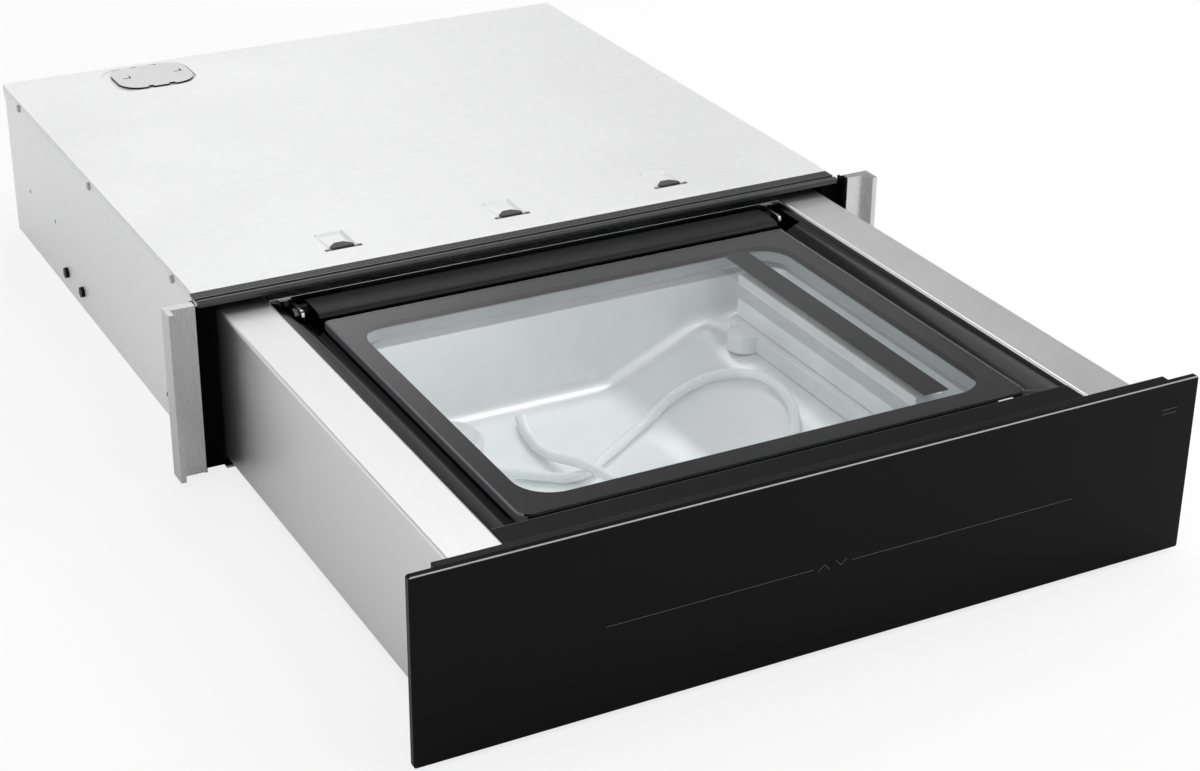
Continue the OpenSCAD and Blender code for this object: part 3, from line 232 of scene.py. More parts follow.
class Shader:
    """A material and its nodes, with short calls for the links between them."""

    def __init__(self, name, **values):
        self.material = bpy.data.materials.new(name)
        self.material.use_nodes = True
        self.nodes = self.material.node_tree.nodes
        self.links = self.material.node_tree.links
        self.nodes.clear()
        self.output = self.nodes.new("ShaderNodeOutputMaterial")
        self.body = self.nodes.new("ShaderNodeBsdfPrincipled")
        self.link(self.body, "BSDF", self.output, "Surface")
        for key, value in values.items():
            self.body.inputs[key.replace("_", " ")].default_value = value
        self.coords = self.nodes.new("ShaderNodeTexCoord")

    def link(self, a, a_name, b, b_name):
        self.links.new(a.outputs[a_name], b.inputs[b_name])

    def noise(self, scale, stretch=(1, 1, 1), detail=4.0, rough=0.55):
        mapping = self.nodes.new("ShaderNodeMapping")
        mapping.inputs["Scale"].default_value = stretch
        self.link(self.coords, "Object", mapping, "Vector")
        noise = self.nodes.new("ShaderNodeTexNoise")
        noise.inputs["Scale"].default_value = scale
        noise.inputs["Detail"].default_value = detail
        noise.inputs["Roughness"].default_value = rough
        self.link(mapping, "Vector", noise, "Vector")
        return noise

    def ramp(self, source, stops, socket="Fac"):
        ramp = self.nodes.new("ShaderNodeValToRGB")
        elements = ramp.color_ramp.elements
        while len(elements) < len(stops):
            elements.new(0.5)
        for element, (place, colour) in zip(elements, stops):
            element.position = place
            element.color = (*colour, 1)
        self.link(source, socket, ramp, "Fac")
        return ramp

    def spread(self, source, low, high, socket="Fac", span=(0.3, 0.7)):
        node = self.nodes.new("ShaderNodeMapRange")
        node.inputs["From Min"].default_value = span[0]
        node.inputs["From Max"].default_value = span[1]
        node.inputs["To Min"].default_value = low
        node.inputs["To Max"].default_value = high
        self.link(source, socket, node, "Value")
        return node

    def math(self, operation, *sources):
        """A Math node over sockets and plain numbers."""
        node = self.nodes.new("ShaderNodeMath")
        node.operation = operation
        for place, source in zip(node.inputs, sources):
            if isinstance(source, (int, float)):
                place.default_value = source
            else:
                self.links.new(source, place)
        return node.outputs[0]

    def bump(self, source, distance, strength=1.0, socket="Fac"):
        node = self.nodes.new("ShaderNodeBump")
        node.inputs["Distance"].default_value = distance
        node.inputs["Strength"].default_value = strength
        self.link(source, socket, node, "Height")
        self.link(node, "Normal", self.body, "Normal")
        return node


def shade(colour, factor):
    return tuple(c * factor for c in colour)


def grey(value, blue=0.0):
    return (value, value, value * (1 + blue))


def speckled(name, colour, rough, scale=900, depth=0.00002, spread=0.06, **values):
    """Moulded plastic, paint or casting: a fine grain and a slight change of tone."""
    s = Shader(name, **values)
    grain = s.noise(scale)
    broad = s.noise(scale / 40)
    tone = s.ramp(broad, [(0.35, shade(colour, 1 - spread)), (0.65, shade(colour, 1 + spread))])
    s.link(tone, "Color", s.body, "Base Color")
    r = s.spread(grain, rough * 0.88, min(rough * 1.12, 1))
    s.link(r, "Result", s.body, "Roughness")
    if depth:
        s.bump(grain, depth)
    return s.material


def brushed(name, colour, rough, along, fine=2600, depth=0.000002, spread=0.02, **values):
    """Finely brushed metal, with its lines along the axis named by along."""
    stretch = [1.0, 1.0, 1.0]
    stretch["xyz".index(along)] = 0.04
    s = Shader(name, Metallic=1.0, **values)
    lines = s.noise(fine, stretch, detail=3.0)
    broad = s.noise(9.0, (1, 1, 1), detail=3.0)
    tone = s.ramp(lines, [(0.3, shade(colour, 1 - spread)), (0.7, shade(colour, 1 + spread))])
    s.link(tone, "Color", s.body, "Base Color")
    fine_rough = s.spread(lines, -0.03, 0.03).outputs["Result"]
    broad_rough = s.spread(broad, rough * 0.94, rough * 1.06).outputs["Result"]
    s.links.new(s.math("ADD", fine_rough, broad_rough), s.body.inputs["Roughness"])
    s.bump(lines, depth)
    return s.material


# Materials


def zinc_sheet():
    s = Shader("zinc_sheet", Metallic=0.5)
    mottle = s.noise(150, detail=5.0)
    clouds = s.noise(7, detail=3.0)
    tone = s.ramp(mottle, [(0.3, grey(0.815, 0.005)), (0.7, grey(0.855, 0.003))])
    s.link(tone, "Color", s.body, "Base Color")
    s.link(s.spread(clouds, 0.38, 0.48), "Result", s.body, "Roughness")
    s.bump(mottle, 0.000003)
    return s.material


def milky_silicone():
    """A thin milky wall: half clear where it is looked through, and white towards its edges."""
    s = Shader("white_silicone", Roughness=0.3, IOR=1.41)
    tone = s.ramp(s.noise(60), [(0.3, (0.88, 0.91, 0.915)), (0.7, (0.92, 0.945, 0.95))])
    s.link(tone, "Color", s.body, "Base Color")
    clear = s.nodes.new("ShaderNodeBsdfTransparent")
    clear.inputs["Color"].default_value = (0.95, 0.965, 0.965, 1)
    edge = s.nodes.new("ShaderNodeLayerWeight")
    edge.inputs["Blend"].default_value = 0.5
    milky = s.spread(edge, 0.42, 0.95, socket="Facing", span=(0.1, 0.8))
    mix = s.nodes.new("ShaderNodeMixShader")
    s.link(milky, "Result", mix, "Fac")
    s.links.new(clear.outputs["BSDF"], mix.inputs[1])
    s.links.new(s.body.outputs["BSDF"], mix.inputs[2])
    s.link(mix, "Shader", s.output, "Surface")
    return s.material


def window_glass():
    """Clear glass with a polished surface, which lets the light through to what lies under it."""
    s = Shader("clear_glass", Roughness=0.0, IOR=1.0, Transmission_Weight=1.0, Coat_Weight=1.0,
               Coat_Roughness=0.02, Coat_IOR=1.5)
    tone = s.ramp(s.noise(3), [(0.2, (0.972, 0.985, 0.984)), (0.8, (0.978, 0.988, 0.987))])
    s.link(tone, "Color", s.body, "Base Color")
    clear = s.nodes.new("ShaderNodeBsdfTransparent")
    path = s.nodes.new("ShaderNodeLightPath")
    unseen = s.math("MAXIMUM", path.outputs["Is Shadow Ray"], path.outputs["Is Diffuse Ray"])
    mix = s.nodes.new("ShaderNodeMixShader")
    s.links.new(unseen, mix.inputs["Fac"])
    s.links.new(s.body.outputs["BSDF"], mix.inputs[1])
    s.links.new(clear.outputs["BSDF"], mix.inputs[2])
    s.link(mix, "Shader", s.output, "Surface")
    return s.material


zinc = zinc_sheet()
black_steel = speckled("black_powder_coat", grey(0.0012), 0.42, scale=1400, Specular_IOR_Level=0.02)
rail_plastic = speckled("black_rail", grey(0.03), 0.3, scale=1100, depth=0.000006)
trim_metal = brushed("brushed_trim", grey(0.60), 0.27, "z", depth=0.0000003, spread=0.006)
box_metal = brushed("brushed_box", grey(0.78), 0.36, "y")
mirror_steel = speckled("bright_steel", grey(0.45), 0.18, depth=0.000002, Metallic=1.0)
rail_metal = brushed("zinc_rail", (0.55, 0.57, 0.58), 0.3, "y")
screw_metal = speckled("screw_zinc", grey(0.4), 0.3, Metallic=1.0)
black_glass = speckled("black_glass", grey(0.002), 0.03, depth=0.0, Specular_IOR_Level=0.1)
ground_edge = speckled("ground_edge", grey(0.006, 0.1), 0.34, scale=2600, depth=0.000002,
                       Specular_IOR_Level=0.1)
# A pale grey for painted highlights on edges that would catch the light
painted_edge_highlight = speckled("painted_edge_highlight", grey(0.36), 0.3, scale=2600, depth=0.000002)
painted_side_highlight = speckled("painted_side_highlight", grey(0.14, 0.05), 0.3, scale=2600, depth=0.000002)
outlet_zinc = speckled("outlet_zinc", grey(0.66), 0.42, spread=0.02, depth=0.000008, Metallic=0.5)
carrier_plastic = speckled("carrier_black", grey(0.005), 0.3, Specular_IOR_Level=0.08)
panel_black = speckled("panel_black", grey(0.007), 0.22, Specular_IOR_Level=0.06)
board_green = speckled("board_green", (0.02, 0.14, 0.06), 0.35)
deck_plastic = speckled("deck_black", grey(0.0015), 0.12, scale=1600, depth=0.000002,
                        Specular_IOR_Level=0.2)
grey_plastic = speckled("grey_plastic", (0.66, 0.69, 0.69), 0.42)
white_plastic = speckled("white_plastic", (0.75, 0.75, 0.73), 0.4)
bar_metal = speckled("anodised_bar", (0.80, 0.825, 0.83), 0.42, depth=0.000004, Metallic=0.4)
tape_pale = speckled("release_tape", (0.66, 0.68, 0.69), 0.6, scale=2500)
grey_rubber = speckled("grey_silicone", (0.74, 0.77, 0.78), 0.5)
lip_rubber = speckled("lip_silicone", (0.42, 0.455, 0.465), 0.5)
buffer_rubber = speckled("buffer_rubber", grey(0.045), 0.55)
black_rubber = speckled("black_rubber", grey(0.015), 0.6)
cover_paint = speckled("hinge_cover_paint", grey(0.013), 0.36, scale=1400, depth=0.000006,
                       Specular_IOR_Level=0.14)
casting = speckled("pump_casting", grey(0.55), 0.5, Metallic=0.9, depth=0.0001)
motor_paint = speckled("motor_paint", grey(0.05, 0.1), 0.4)
iron = speckled("transformer_lacquer", (0.2, 0.13, 0.08), 0.45)
brass = speckled("valve_brass", (0.62, 0.45, 0.2), 0.3, Metallic=1.0)
blasted = speckled("blasted_steel", (0.83, 0.855, 0.86), 0.36, scale=2600, depth=0.000008,
                   spread=0.015, Metallic=0.75)
silicone = milky_silicone()
clear_glass = window_glass()
print_grey = speckled("printed_border", grey(0.003, 0.03), 0.5, depth=0.0, spread=0.03,
                      Specular_IOR_Level=0.05)
mark_grey = speckled("front_marks", grey(0.035), 0.4, depth=0.0)
icon_grey = speckled("icon_print", grey(0.22), 0.4, depth=0.0)
# Painted shadow: a near-black for the side faces of the outlet cover
painted_shadow_edge = speckled("painted_shadow_edge", grey(0.02), 0.5, depth=0.0, Specular_IOR_Level=0.1)
# Painted shade: a mid grey for the thin lines drawn along the skirts of the top
painted_skirt_shade = speckled("painted_skirt_shade", grey(0.36), 0.5, depth=0.0, Metallic=0.3)

SLOT_MATERIALS = {
    "galvanised_sheet": zinc, "black_steel": black_steel, "rail_plastic": rail_plastic,
    "trim_aluminium": trim_metal, "box_steel": box_metal, "rail_steel": rail_metal,
    "screw_steel": screw_metal, "black_glass": black_glass, "clear_glass": clear_glass,
    "black_plastic": carrier_plastic, "gloss_black": panel_black, "circuit_board": board_green,
    "chamber_steel": blasted, "grey_plastic": grey_plastic, "white_plastic": white_plastic,
    "bar_aluminium": bar_metal, "release_tape": tape_pale, "grey_rubber": grey_rubber,
    "black_rubber": black_rubber, "hinge_cover_grey": cover_paint, "pump_casting": casting,
    "motor_steel": motor_paint, "transformer_iron": iron, "valve_brass": brass,
    "white_silicone": silicone}
NODE_MATERIALS = {
    "deck_surround": deck_plastic, "rear_plate": mirror_steel, "hinge_bracket_left": mirror_steel,
    "hinge_bracket_right": mirror_steel, "stack_buffers": buffer_rubber,
    "outlet_cover": outlet_zinc}


def material_of(name):
    return NODE_MATERIALS.get(name, SLOT_MATERIALS[slot_of[name]])


for name, obj in nodes.items():
    if not obj.material_slots:
        obj.data.materials.append(material_of(name))
    for place in obj.material_slots:
        place.material = material_of(name)


def dress(obj, material, body, slot, *replaced):
    """Gives a piece its material and its body, and hides the nodes that it stands for; the slot argument is
    not used.
    """
    obj.data.materials.clear()
    obj.data.materials.append(material)
    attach(obj, body)
    if replaced:
        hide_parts(*replaced)
    return obj


dress(hose, silicone, "drawer", "white_silicone", "hose")

# Folded, cast and moulded pieces: the forms of their nodes, with the sharp edges broken

ROUND_WIDTH = {
    "base_pan": 0.0005, "top_cover": 0.0005, "rear_panel": 0.0002, "outlet_cover": 0.0003,
    "stack_buffers": 0.0004, "front_frame": 0.0008, "top_rail": 0.0002, "trim_left": 0.0006,
    "trim_right": 0.0006, "side_box_left": 0.0005, "side_box_right": 0.0005,
    "front_carrier": 0.0006, "control_panel": 0.0004, "rear_plate": 0.0005,
    "hinge_bracket_left": 0.0007, "hinge_bracket_right": 0.0007, "hinge_cover": 0.0008,
    "hinge_arm_left": 0.0008, "hinge_arm_right": 0.0008, "spring_cases": 0.0006,
    "seal_base": 0.0022, "seal_bar": 0.0012, "counter_bar": 0.0006, "lid_frame": 0.0005,
    "lid_gasket": 0.0006, "lid_guides": 0.0004, "suction_cover": 0.0012, "drawer_pan": 0.0006,
    "drawer_back": 0.0002, "fixed_rail_left": 0.0004, "fixed_rail_right": 0.0004,
    "middle_rail_left": 0.0004, "middle_rail_right": 0.0004, "inner_rail_left": 0.0004,
    "inner_rail_right": 0.0004, "latch_housing": 0.0008, "latch_plunger": 0.0006,
    "pump_body": 0.002, "pump_heads": 0.001, "pump_motor": 0.002, "transformer": 0.0008,
    "solenoid_valve": 0.0008, "cable_gland": 0.0006, "side_plugs": 0.0006}
ROUND_ANGLE = math.radians(28)
FLAT_ANGLE = math.radians(0.5)
WELD = 0.000002
BEVEL_SEGMENTS = 2
FLAT_WEIGHT = 100


def whole_faces(name):
    """The form of a node with its flat faces whole again."""
    mesh = nodes[name].data
    bm = bmesh.new()
    corners = [bm.verts.new(vertex.co) for vertex in mesh.vertices]
    for face in mesh.polygons:
        bm.faces.new([corners[k] for k in face.vertices])
    bmesh.ops.remove_doubles(bm, verts=bm.verts, dist=WELD)
    bmesh.ops.dissolve_limit(bm, angle_limit=FLAT_ANGLE, verts=bm.verts, edges=bm.edges)
    return bm


def broken_edges(name, width, material):
    """A piece with the form of a node and with its sharp edges broken."""
    piece = from_bmesh(name + "_finished", whole_faces(name))
    edges = piece.modifiers.new("edges", "BEVEL")
    edges.width = width
    edges.segments = BEVEL_SEGMENTS
    edges.limit_method = "ANGLE"
    edges.angle_limit = ROUND_ANGLE
    flats = piece.modifiers.new("flats", "WEIGHTED_NORMAL")
    flats.mode = "FACE_AREA"
    flats.weight = FLAT_WEIGHT
    apply_modifiers(piece)
    return dress(piece, material, body_of(nodes[name])[0], slot_of[name], name)


for name, width in ROUND_WIDTH.items():
    broken_edges(name, width, material_of(name))

# Side faces of the outlet cover painted near-black as a painted shadow under its rim, and thin painted shade
# lines along the skirts of the top

SHADOW_EDGE_TILT = 0.6
outlet = bpy.data.objects["outlet_cover_finished"]
outlet.data.materials.append(painted_shadow_edge)
for face in outlet.data.polygons:
    if abs(face.normal.z) < SHADOW_EDGE_TILT:
        face.material_index = 1

# Thin grey plates on the skirts: painted shade lines at the fold and at the skirt's lower edge
SHADE_LINE_T = 0.00003
SHADE_LINES = [("upper", 0.0024, 0.0003), ("lower", 0.0056, 0.0002)]
SHADE_LINE_START = 0.022
SHADE_LINE_END_GAP = 0.0005
top_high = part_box("top_cover")[1]


def painted_shade_line(name, side, drop, width):
    a, b = sorted((side * (top_high.x - SHADE_LINE_T), side * (top_high.x + SHADE_LINE_T)))
    end = top_high.y - SHADE_LINE_END_GAP
    outline = [(a, SHADE_LINE_START), (b, SHADE_LINE_START), (b, end), (a, end)]
    return plate(name, outline, top_high.z - drop - width, top_high.z - drop)


for row, drop, width in SHADE_LINES:
    for side_name, side in (("left", -1), ("right", 1)):
        name = "fold_line_" + row + "_" + side_name
        dress(painted_shade_line(name, side, drop, width), painted_skirt_shade, "cabinet", "galvanised_sheet")

# Sloped sides of the stamped recesses in the top

TIGHT = 0.0005
BUFFER_X = 0.141
RECESS_HW = 0.0115
RECESS_Y = (0.045, 0.076)
RECESS_R = 0.003
RECESS_DEPTH = 0.0014
RECESS_STEPS = 6
SLOPE_W = 0.0028
SLOPE_START = 0.00005
SLOPE_LIFT = 0.00006
SLOPE_DRIFT = 0.00006
cover_top = top_high.z


def recess_outline(x, inset, r):
    """Outline of a recess at x; its front edge moves by a hair, so that no face is empty."""
    front = RECESS_Y[0] + SLOPE_LIFT + inset * SLOPE_DRIFT
    return rounded_outline(x - RECESS_HW + inset, x + RECESS_HW - inset, front, RECESS_Y[1] - inset,
                           [TIGHT] * 2 + [r] * 2, RECESS_STEPS)


def recess_slope(name, x):
    """A thin wedge around three sides of a recess, from the top sheet down to its floor."""
    floor = cover_top - RECESS_DEPTH
    outer = recess_outline(x, SLOPE_START, RECESS_R)
    inner = recess_outline(x, SLOPE_W, RECESS_R / 2)
    return closed_ring(name, [at_height(outer, cover_top - SLOPE_LIFT), at_height(inner, floor + SLOPE_LIFT),
                              at_height(inner, floor), at_height(outer, floor)])


for place, x in (("left", -BUFFER_X), ("middle", 0), ("right", BUFFER_X)):
    dress(recess_slope("recess_slope_" + place, x), zinc, "cabinet", "galvanised_sheet")

# Black moulding around the lid: soft shoulders at the sides, a crease and a gutter

DECK_RIM = 0.001
SHOULDER_R = 0.026
SHOULDER_TURN = 26
SHOULDER_STEPS = 14
CREASE_X = 0.1955
CREASE_R = 0.0012
CREASE_STEPS = 6
CREASE_TURN = 86
GUTTER_X = 0.194
GUTTER_FLOOR = 0.1015
POCKET_R = 0.022
CORNER_STEPS = 16
DECK_SHARP = 30
CUTTER_STEPS = 2
TROUGH_HW = 0.2106
TROUGH_FRONT = -0.0407
TROUGH_FLOOR = 0.089
MOULD_T = 0.003
BASIN_GAP = 0.0018
BASIN_X = 0.176
BASIN_Y = (-0.342, -0.064)
EDGE_R = 0.014


def falling_arc(x, z, r, start, end, steps):
    """Points (x, z) of a round shoulder that falls away inwards, between two slopes in degrees."""
    first = math.radians(start)
    points = []
    for k in range(1, steps + 1):
        a = math.radians(start + (end - start) * k / steps)
        points.append((x - r * (math.sin(a) - math.sin(first)),
                       z - r * (math.cos(first) - math.cos(a))))
    return points


def box_cutter(name, x, y0, y1, z0, z1):
    return plate(name, rounded_outline(-x, x, y0, y1, [TIGHT] * 4, CUTTER_STEPS), z0, z1)


def deck_skin(low, high):
    deck = plate("deck_skin", [(low.x, low.y), (high.x, low.y), (high.x, high.y), (low.x, high.y)],
                 low.z, high.z)
    start = (high.x - DECK_RIM, high.z)
    side = [start] + falling_arc(*start, SHOULDER_R, 0, SHOULDER_TURN, SHOULDER_STEPS)
    slope = math.tan(math.radians(SHOULDER_TURN))
    crease = (CREASE_X, side[-1][1] - (side[-1][0] - CREASE_X) * slope)
    side += [crease] + falling_arc(*crease, CREASE_R, SHOULDER_TURN, CREASE_TURN, CREASE_STEPS)
    side.append((GUTTER_X, GUTTER_FLOOR))
    front = low.y + DECK_RIM
    back = high.y + DECK_RIM
    above = high.z + DECK_RIM
    mouth = rounded_outline(-start[0], start[0], front, back, [TIGHT] * 4, CORNER_STEPS)
    rings = [at_height(mouth, above)]
    for x, z in side:
        r = TIGHT if x > CREASE_X else POCKET_R
        outline = rounded_outline(-x, x, front, back, [r, r, TIGHT, TIGHT], CORNER_STEPS)
        rings.append(at_height(outline, z))
    carve(deck, loft("pocket_cutter", rings))
    carve(deck, box_cutter("trough_cutter", TROUGH_HW, TROUGH_FRONT, back, TROUGH_FLOOR, above))
    hole = rounded_outline(-BASIN_X - BASIN_GAP, BASIN_X + BASIN_GAP, BASIN_Y[0] - BASIN_GAP,
                           BASIN_Y[1] + BASIN_GAP, [EDGE_R] * 4)
    carve(deck, plate("basin_cutter", hole, low.z - DECK_RIM, high.z))
    carve(deck, box_cutter("hollow_cutter", high.x - MOULD_T, low.y + MOULD_T, TROUGH_FRONT - MOULD_T,
                           low.z - DECK_RIM, GUTTER_FLOOR - MOULD_T))
    sharp_by_angle(deck, DECK_SHARP)
    return deck


dress(deck_skin(*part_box("deck_surround")), deck_plastic, "drawer", "black_plastic", "deck_surround")

# Lid: a clear pane with ground edges, and the border and strip printed under it

PANE_EDGE = 0.0011
PRINT_T = 0.00012
PRINT_DEPTH = 0.0016
PRINT_INSET = 0.0012
LIT_EDGE_OUT = 0.0002
WINDOW_SIDE = 0.016
WINDOW_FRONT = 0.0205
WINDOW_BACK = 0.0195
WINDOW_R = 0.027
STRIP_X = (0.1255, 0.1460)
STRIP_Y = (-0.3338, -0.0645)
PANE_R = 0.010
PANE_BACK_R = 0.002
PANE_STEPS = 12
LIT_EDGE_R = 0.0001
STRIP_R = 0.001
FACE_UP = 0.9
FACE_ASIDE = 0.5

glass_low, glass_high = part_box("lid_glass")


def pane_outline(inset):
    return rounded_outline(glass_low.x + inset, glass_high.x - inset, glass_low.y + inset,
                           glass_high.y - inset, [PANE_R - inset] * 2 + [PANE_BACK_R - inset] * 2,
                           PANE_STEPS)


print_z = glass_high.z - PRINT_DEPTH
pane = loft("lid_pane", [at_height(pane_outline(PANE_EDGE), glass_low.z),
                         at_height(pane_outline(0), glass_low.z + PANE_EDGE),
                         at_height(pane_outline(0), glass_high.z - PANE_EDGE),
                         at_height(pane_outline(PANE_EDGE), glass_high.z)], smooth=False)
dress(pane, clear_glass, "lid", "clear_glass", "lid_glass")
pane.data.materials.append(ground_edge)
pane.data.materials.append(painted_side_highlight)
# Edge faces along the sides take a paler grey than those at the front and back: a painted highlight on the
# side edges
for face in pane.data.polygons:
    if abs(face.normal.z) < FACE_UP:
        face.material_index = 2 if abs(face.normal.x) > FACE_ASIDE else 1

window = rounded_outline(glass_low.x + WINDOW_SIDE, glass_high.x - WINDOW_SIDE,
                         glass_low.y + WINDOW_FRONT, glass_high.y - WINDOW_BACK, [WINDOW_R] * 4,
                         PANE_STEPS)
border = flat_ring("lid_border_print", pane_outline(PRINT_INSET), window, print_z, print_z + PRINT_T)
dress(border, print_grey, "lid", "black_plastic")
# A pale strip under the right edge of the pane: a painted highlight where the ground edge would catch the
# light
lit_outline = rounded_outline(glass_high.x - PRINT_INSET, glass_high.x - LIT_EDGE_OUT,
                              glass_low.y + PANE_R, glass_high.y - PANE_BACK_R, [LIT_EDGE_R] * 4, 1)
lit_edge = plate("lid_edge_painted_highlight", lit_outline, print_z, print_z + PRINT_T)
dress(lit_edge, painted_edge_highlight, "lid", "clear_glass")
strip = plate("lid_strip_print", rounded_outline(*STRIP_X, *STRIP_Y, [STRIP_R] * 4, 3),
              print_z, print_z + PRINT_T)
dress(strip, print_grey, "lid", "black_plastic")

# Grey lip of the gasket that lines the inner side of the black lid frame

FRAME_W = 0.014
LIP_W = 0.0012
LIP_R = 0.024
LIP_GAP = 0.00005
LIP_STEPS = 10
lip_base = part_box("lid_gasket")[1].z


def lip_outline(inset):
    return rounded_outline(glass_low.x + inset, glass_high.x - inset, glass_low.y + inset,
                           glass_high.y - inset, [LIP_R] * 4, LIP_STEPS)


lip = flat_ring("gasket_lip", lip_outline(FRAME_W + LIP_GAP), lip_outline(FRAME_W + LIP_W),
                lip_base, glass_low.z)
dress(lip, lip_rubber, "lid", "grey_rubber")

# Chamber: one pressed skin with round edges

CHAMBER_T = 0.0015
chamber_low, chamber_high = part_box("chamber")
RIM_Z = chamber_high.z
FLOOR_Z = chamber_low.z + CHAMBER_T
LEDGE_RISE = 0.038
LEDGE_Z = FLOOR_Z + LEDGE_RISE
FOOT_X = 0.0272
CREST_X = 0.1052
ROUND_SEGMENTS = 8
CHAMBER_SHARP = 40


def chamber_skin():
    bm = bmesh.new()
    profile = [(-BASIN_X, RIM_Z), (-BASIN_X, FLOOR_Z), (FOOT_X, FLOOR_Z), (CREST_X, LEDGE_Z),
               (BASIN_X, LEDGE_Z), (BASIN_X, RIM_Z)]
    front = [bm.verts.new((x, BASIN_Y[0], z)) for x, z in profile]
    back = [bm.verts.new((x, BASIN_Y[1], z)) for x, z in profile]
    for k in range(len(profile) - 1):
        bm.faces.new((front[k], front[k + 1], back[k + 1], back[k]))
    bm.faces.new(front)
    bm.faces.new(list(reversed(back)))
    outer = [bm.verts.new((x, y, RIM_Z)) for x, y in
             ((chamber_low.x, chamber_low.y), (chamber_high.x, chamber_low.y),
              (chamber_high.x, chamber_high.y), (chamber_low.x, chamber_high.y))]
    rim = [front[0], front[-1], back[-1], back[0]]
    for k in range(4):
        n = (k + 1) % 4
        bm.faces.new((rim[k], rim[n], outer[n], outer[k]))
    bmesh.ops.recalc_face_normals(bm, faces=bm.faces)
    inner_edges = [edge for edge in bm.edges
                   if len(edge.link_faces) == 2 and not set(edge.verts) <= set(rim)
                   and not set(edge.verts) & set(outer)]
    bmesh.ops.bevel(bm, geom=inner_edges, offset=EDGE_R, offset_type="OFFSET",
                    segments=ROUND_SEGMENTS, profile=0.5, affect="EDGES", clamp_overlap=True)
    return bm


skin = from_bmesh("chamber_skin", chamber_skin())
thick = skin.modifiers.new("sheet", "SOLIDIFY")
thick.thickness = CHAMBER_T
thick.offset = -1
apply_modifiers(skin)
sharp_by_angle(skin, CHAMBER_SHARP)
dress(skin, blasted, "drawer", "chamber_steel", "chamber")

# Glass front: a polished slab whose top chamfer is painted pale as a painted highlight, with generic marks

FRONT_EDGE = 0.0007
FRONT_R = 0.002
MARK_T = 0.00006
LINE_Z = 0.0665
LINE_W = 0.0005
CHEVRON_W = 0.0085
CHEVRON_H = 0.0042
CHEVRON_T = 0.0007
CHEVRON_UP_X = -0.005
CHEVRON_DOWN_X = 0.008
LINE_LEFT = (-0.162, -0.013)
LINE_RIGHT = (0.016, 0.192)
LABEL_BARS = 2
LABEL_X = (0.262, 0.274)
LABEL_Z = 0.1165
LABEL_STEP = 0.0032
SLAB_STEPS = 6
EDGE_FORWARD = 0.1
EDGE_UP = 0.5
front_low, front_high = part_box("glass_front")
FACE_Y = front_low.y + MARK_T


def slab_outline(inset):
    return rounded_outline(front_low.x + inset, front_high.x - inset, front_low.z + inset,
                           front_high.z - inset, [FRONT_R - inset] * 4, SLAB_STEPS)


slab = loft("front_slab", [at_depth(slab_outline(FRONT_EDGE), FACE_Y),
                           at_depth(slab_outline(0), FACE_Y + FRONT_EDGE),
                           at_depth(slab_outline(0), front_high.y)], smooth=False)
dress(slab, black_glass, "drawer", "black_glass", "glass_front")
# The top chamfer takes a pale grey: a painted highlight along the top edge
slab.data.materials.append(painted_edge_highlight)
for face in slab.data.polygons:
    if face.normal.y < -EDGE_FORWARD and face.normal.z > EDGE_UP:
        face.material_index = 1


def mark(name, outline):
    """A thin flat mark on the front face, from points (x, z)."""
    rings = [at_depth(outline, front_low.y), at_depth(outline, FACE_Y)]
    return dress(loft(name, rings, smooth=False), mark_grey, "drawer", "black_plastic")


def bar_outline(x0, x1, z=LINE_Z):
    return [(x0, z - LINE_W / 2), (x1, z - LINE_W / 2), (x1, z + LINE_W / 2), (x0, z + LINE_W / 2)]


def chevron_outline(x, turn):
    """A small angle of even width that points up or down, as turn is 1 or -1."""
    w = CHEVRON_W / 2
    h = turn * CHEVRON_H / 2
    t = turn * CHEVRON_T
    return [(x - w, LINE_Z - h), (x, LINE_Z + h), (x + w, LINE_Z - h), (x + w, LINE_Z - h - t),
            (x, LINE_Z + h - t), (x - w, LINE_Z - h - t)]


mark("front_line_left", bar_outline(*LINE_LEFT))
mark("front_line_right", bar_outline(*LINE_RIGHT))
for row in range(LABEL_BARS):
    mark("front_label_" + str(row), bar_outline(*LABEL_X, LABEL_Z - row * LABEL_STEP))
mark("front_chevron_up", chevron_outline(CHEVRON_UP_X, 1))
mark("front_chevron_down", chevron_outline(CHEVRON_DOWN_X, -1))

# A generic ring and dot on the control strip

RING_AT = (-0.1375, -0.3937)
RING_R = 0.0042
RING_W = 0.0006
DOT_R = 0.0013
RING_STEPS = 32
panel_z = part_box("control_panel")[1].z


def circle(r):
    return [(RING_AT[0] + r * math.cos(2 * math.pi * k / RING_STEPS),
             RING_AT[1] + r * math.sin(2 * math.pi * k / RING_STEPS)) for k in range(RING_STEPS)]


dress(flat_ring("panel_ring", circle(RING_R), circle(RING_R - RING_W), panel_z, panel_z + MARK_T),
      icon_grey, "drawer", "gloss_black")
dress(plate("panel_dot", circle(DOT_R), panel_z, panel_z + MARK_T), icon_grey, "drawer", "gloss_black")

# Floor, light and background

FLOOR_HALF = 12.0
FLOOR_WHITE = 0.78
FLOOR_WHITE_MIRRORED = 0.0


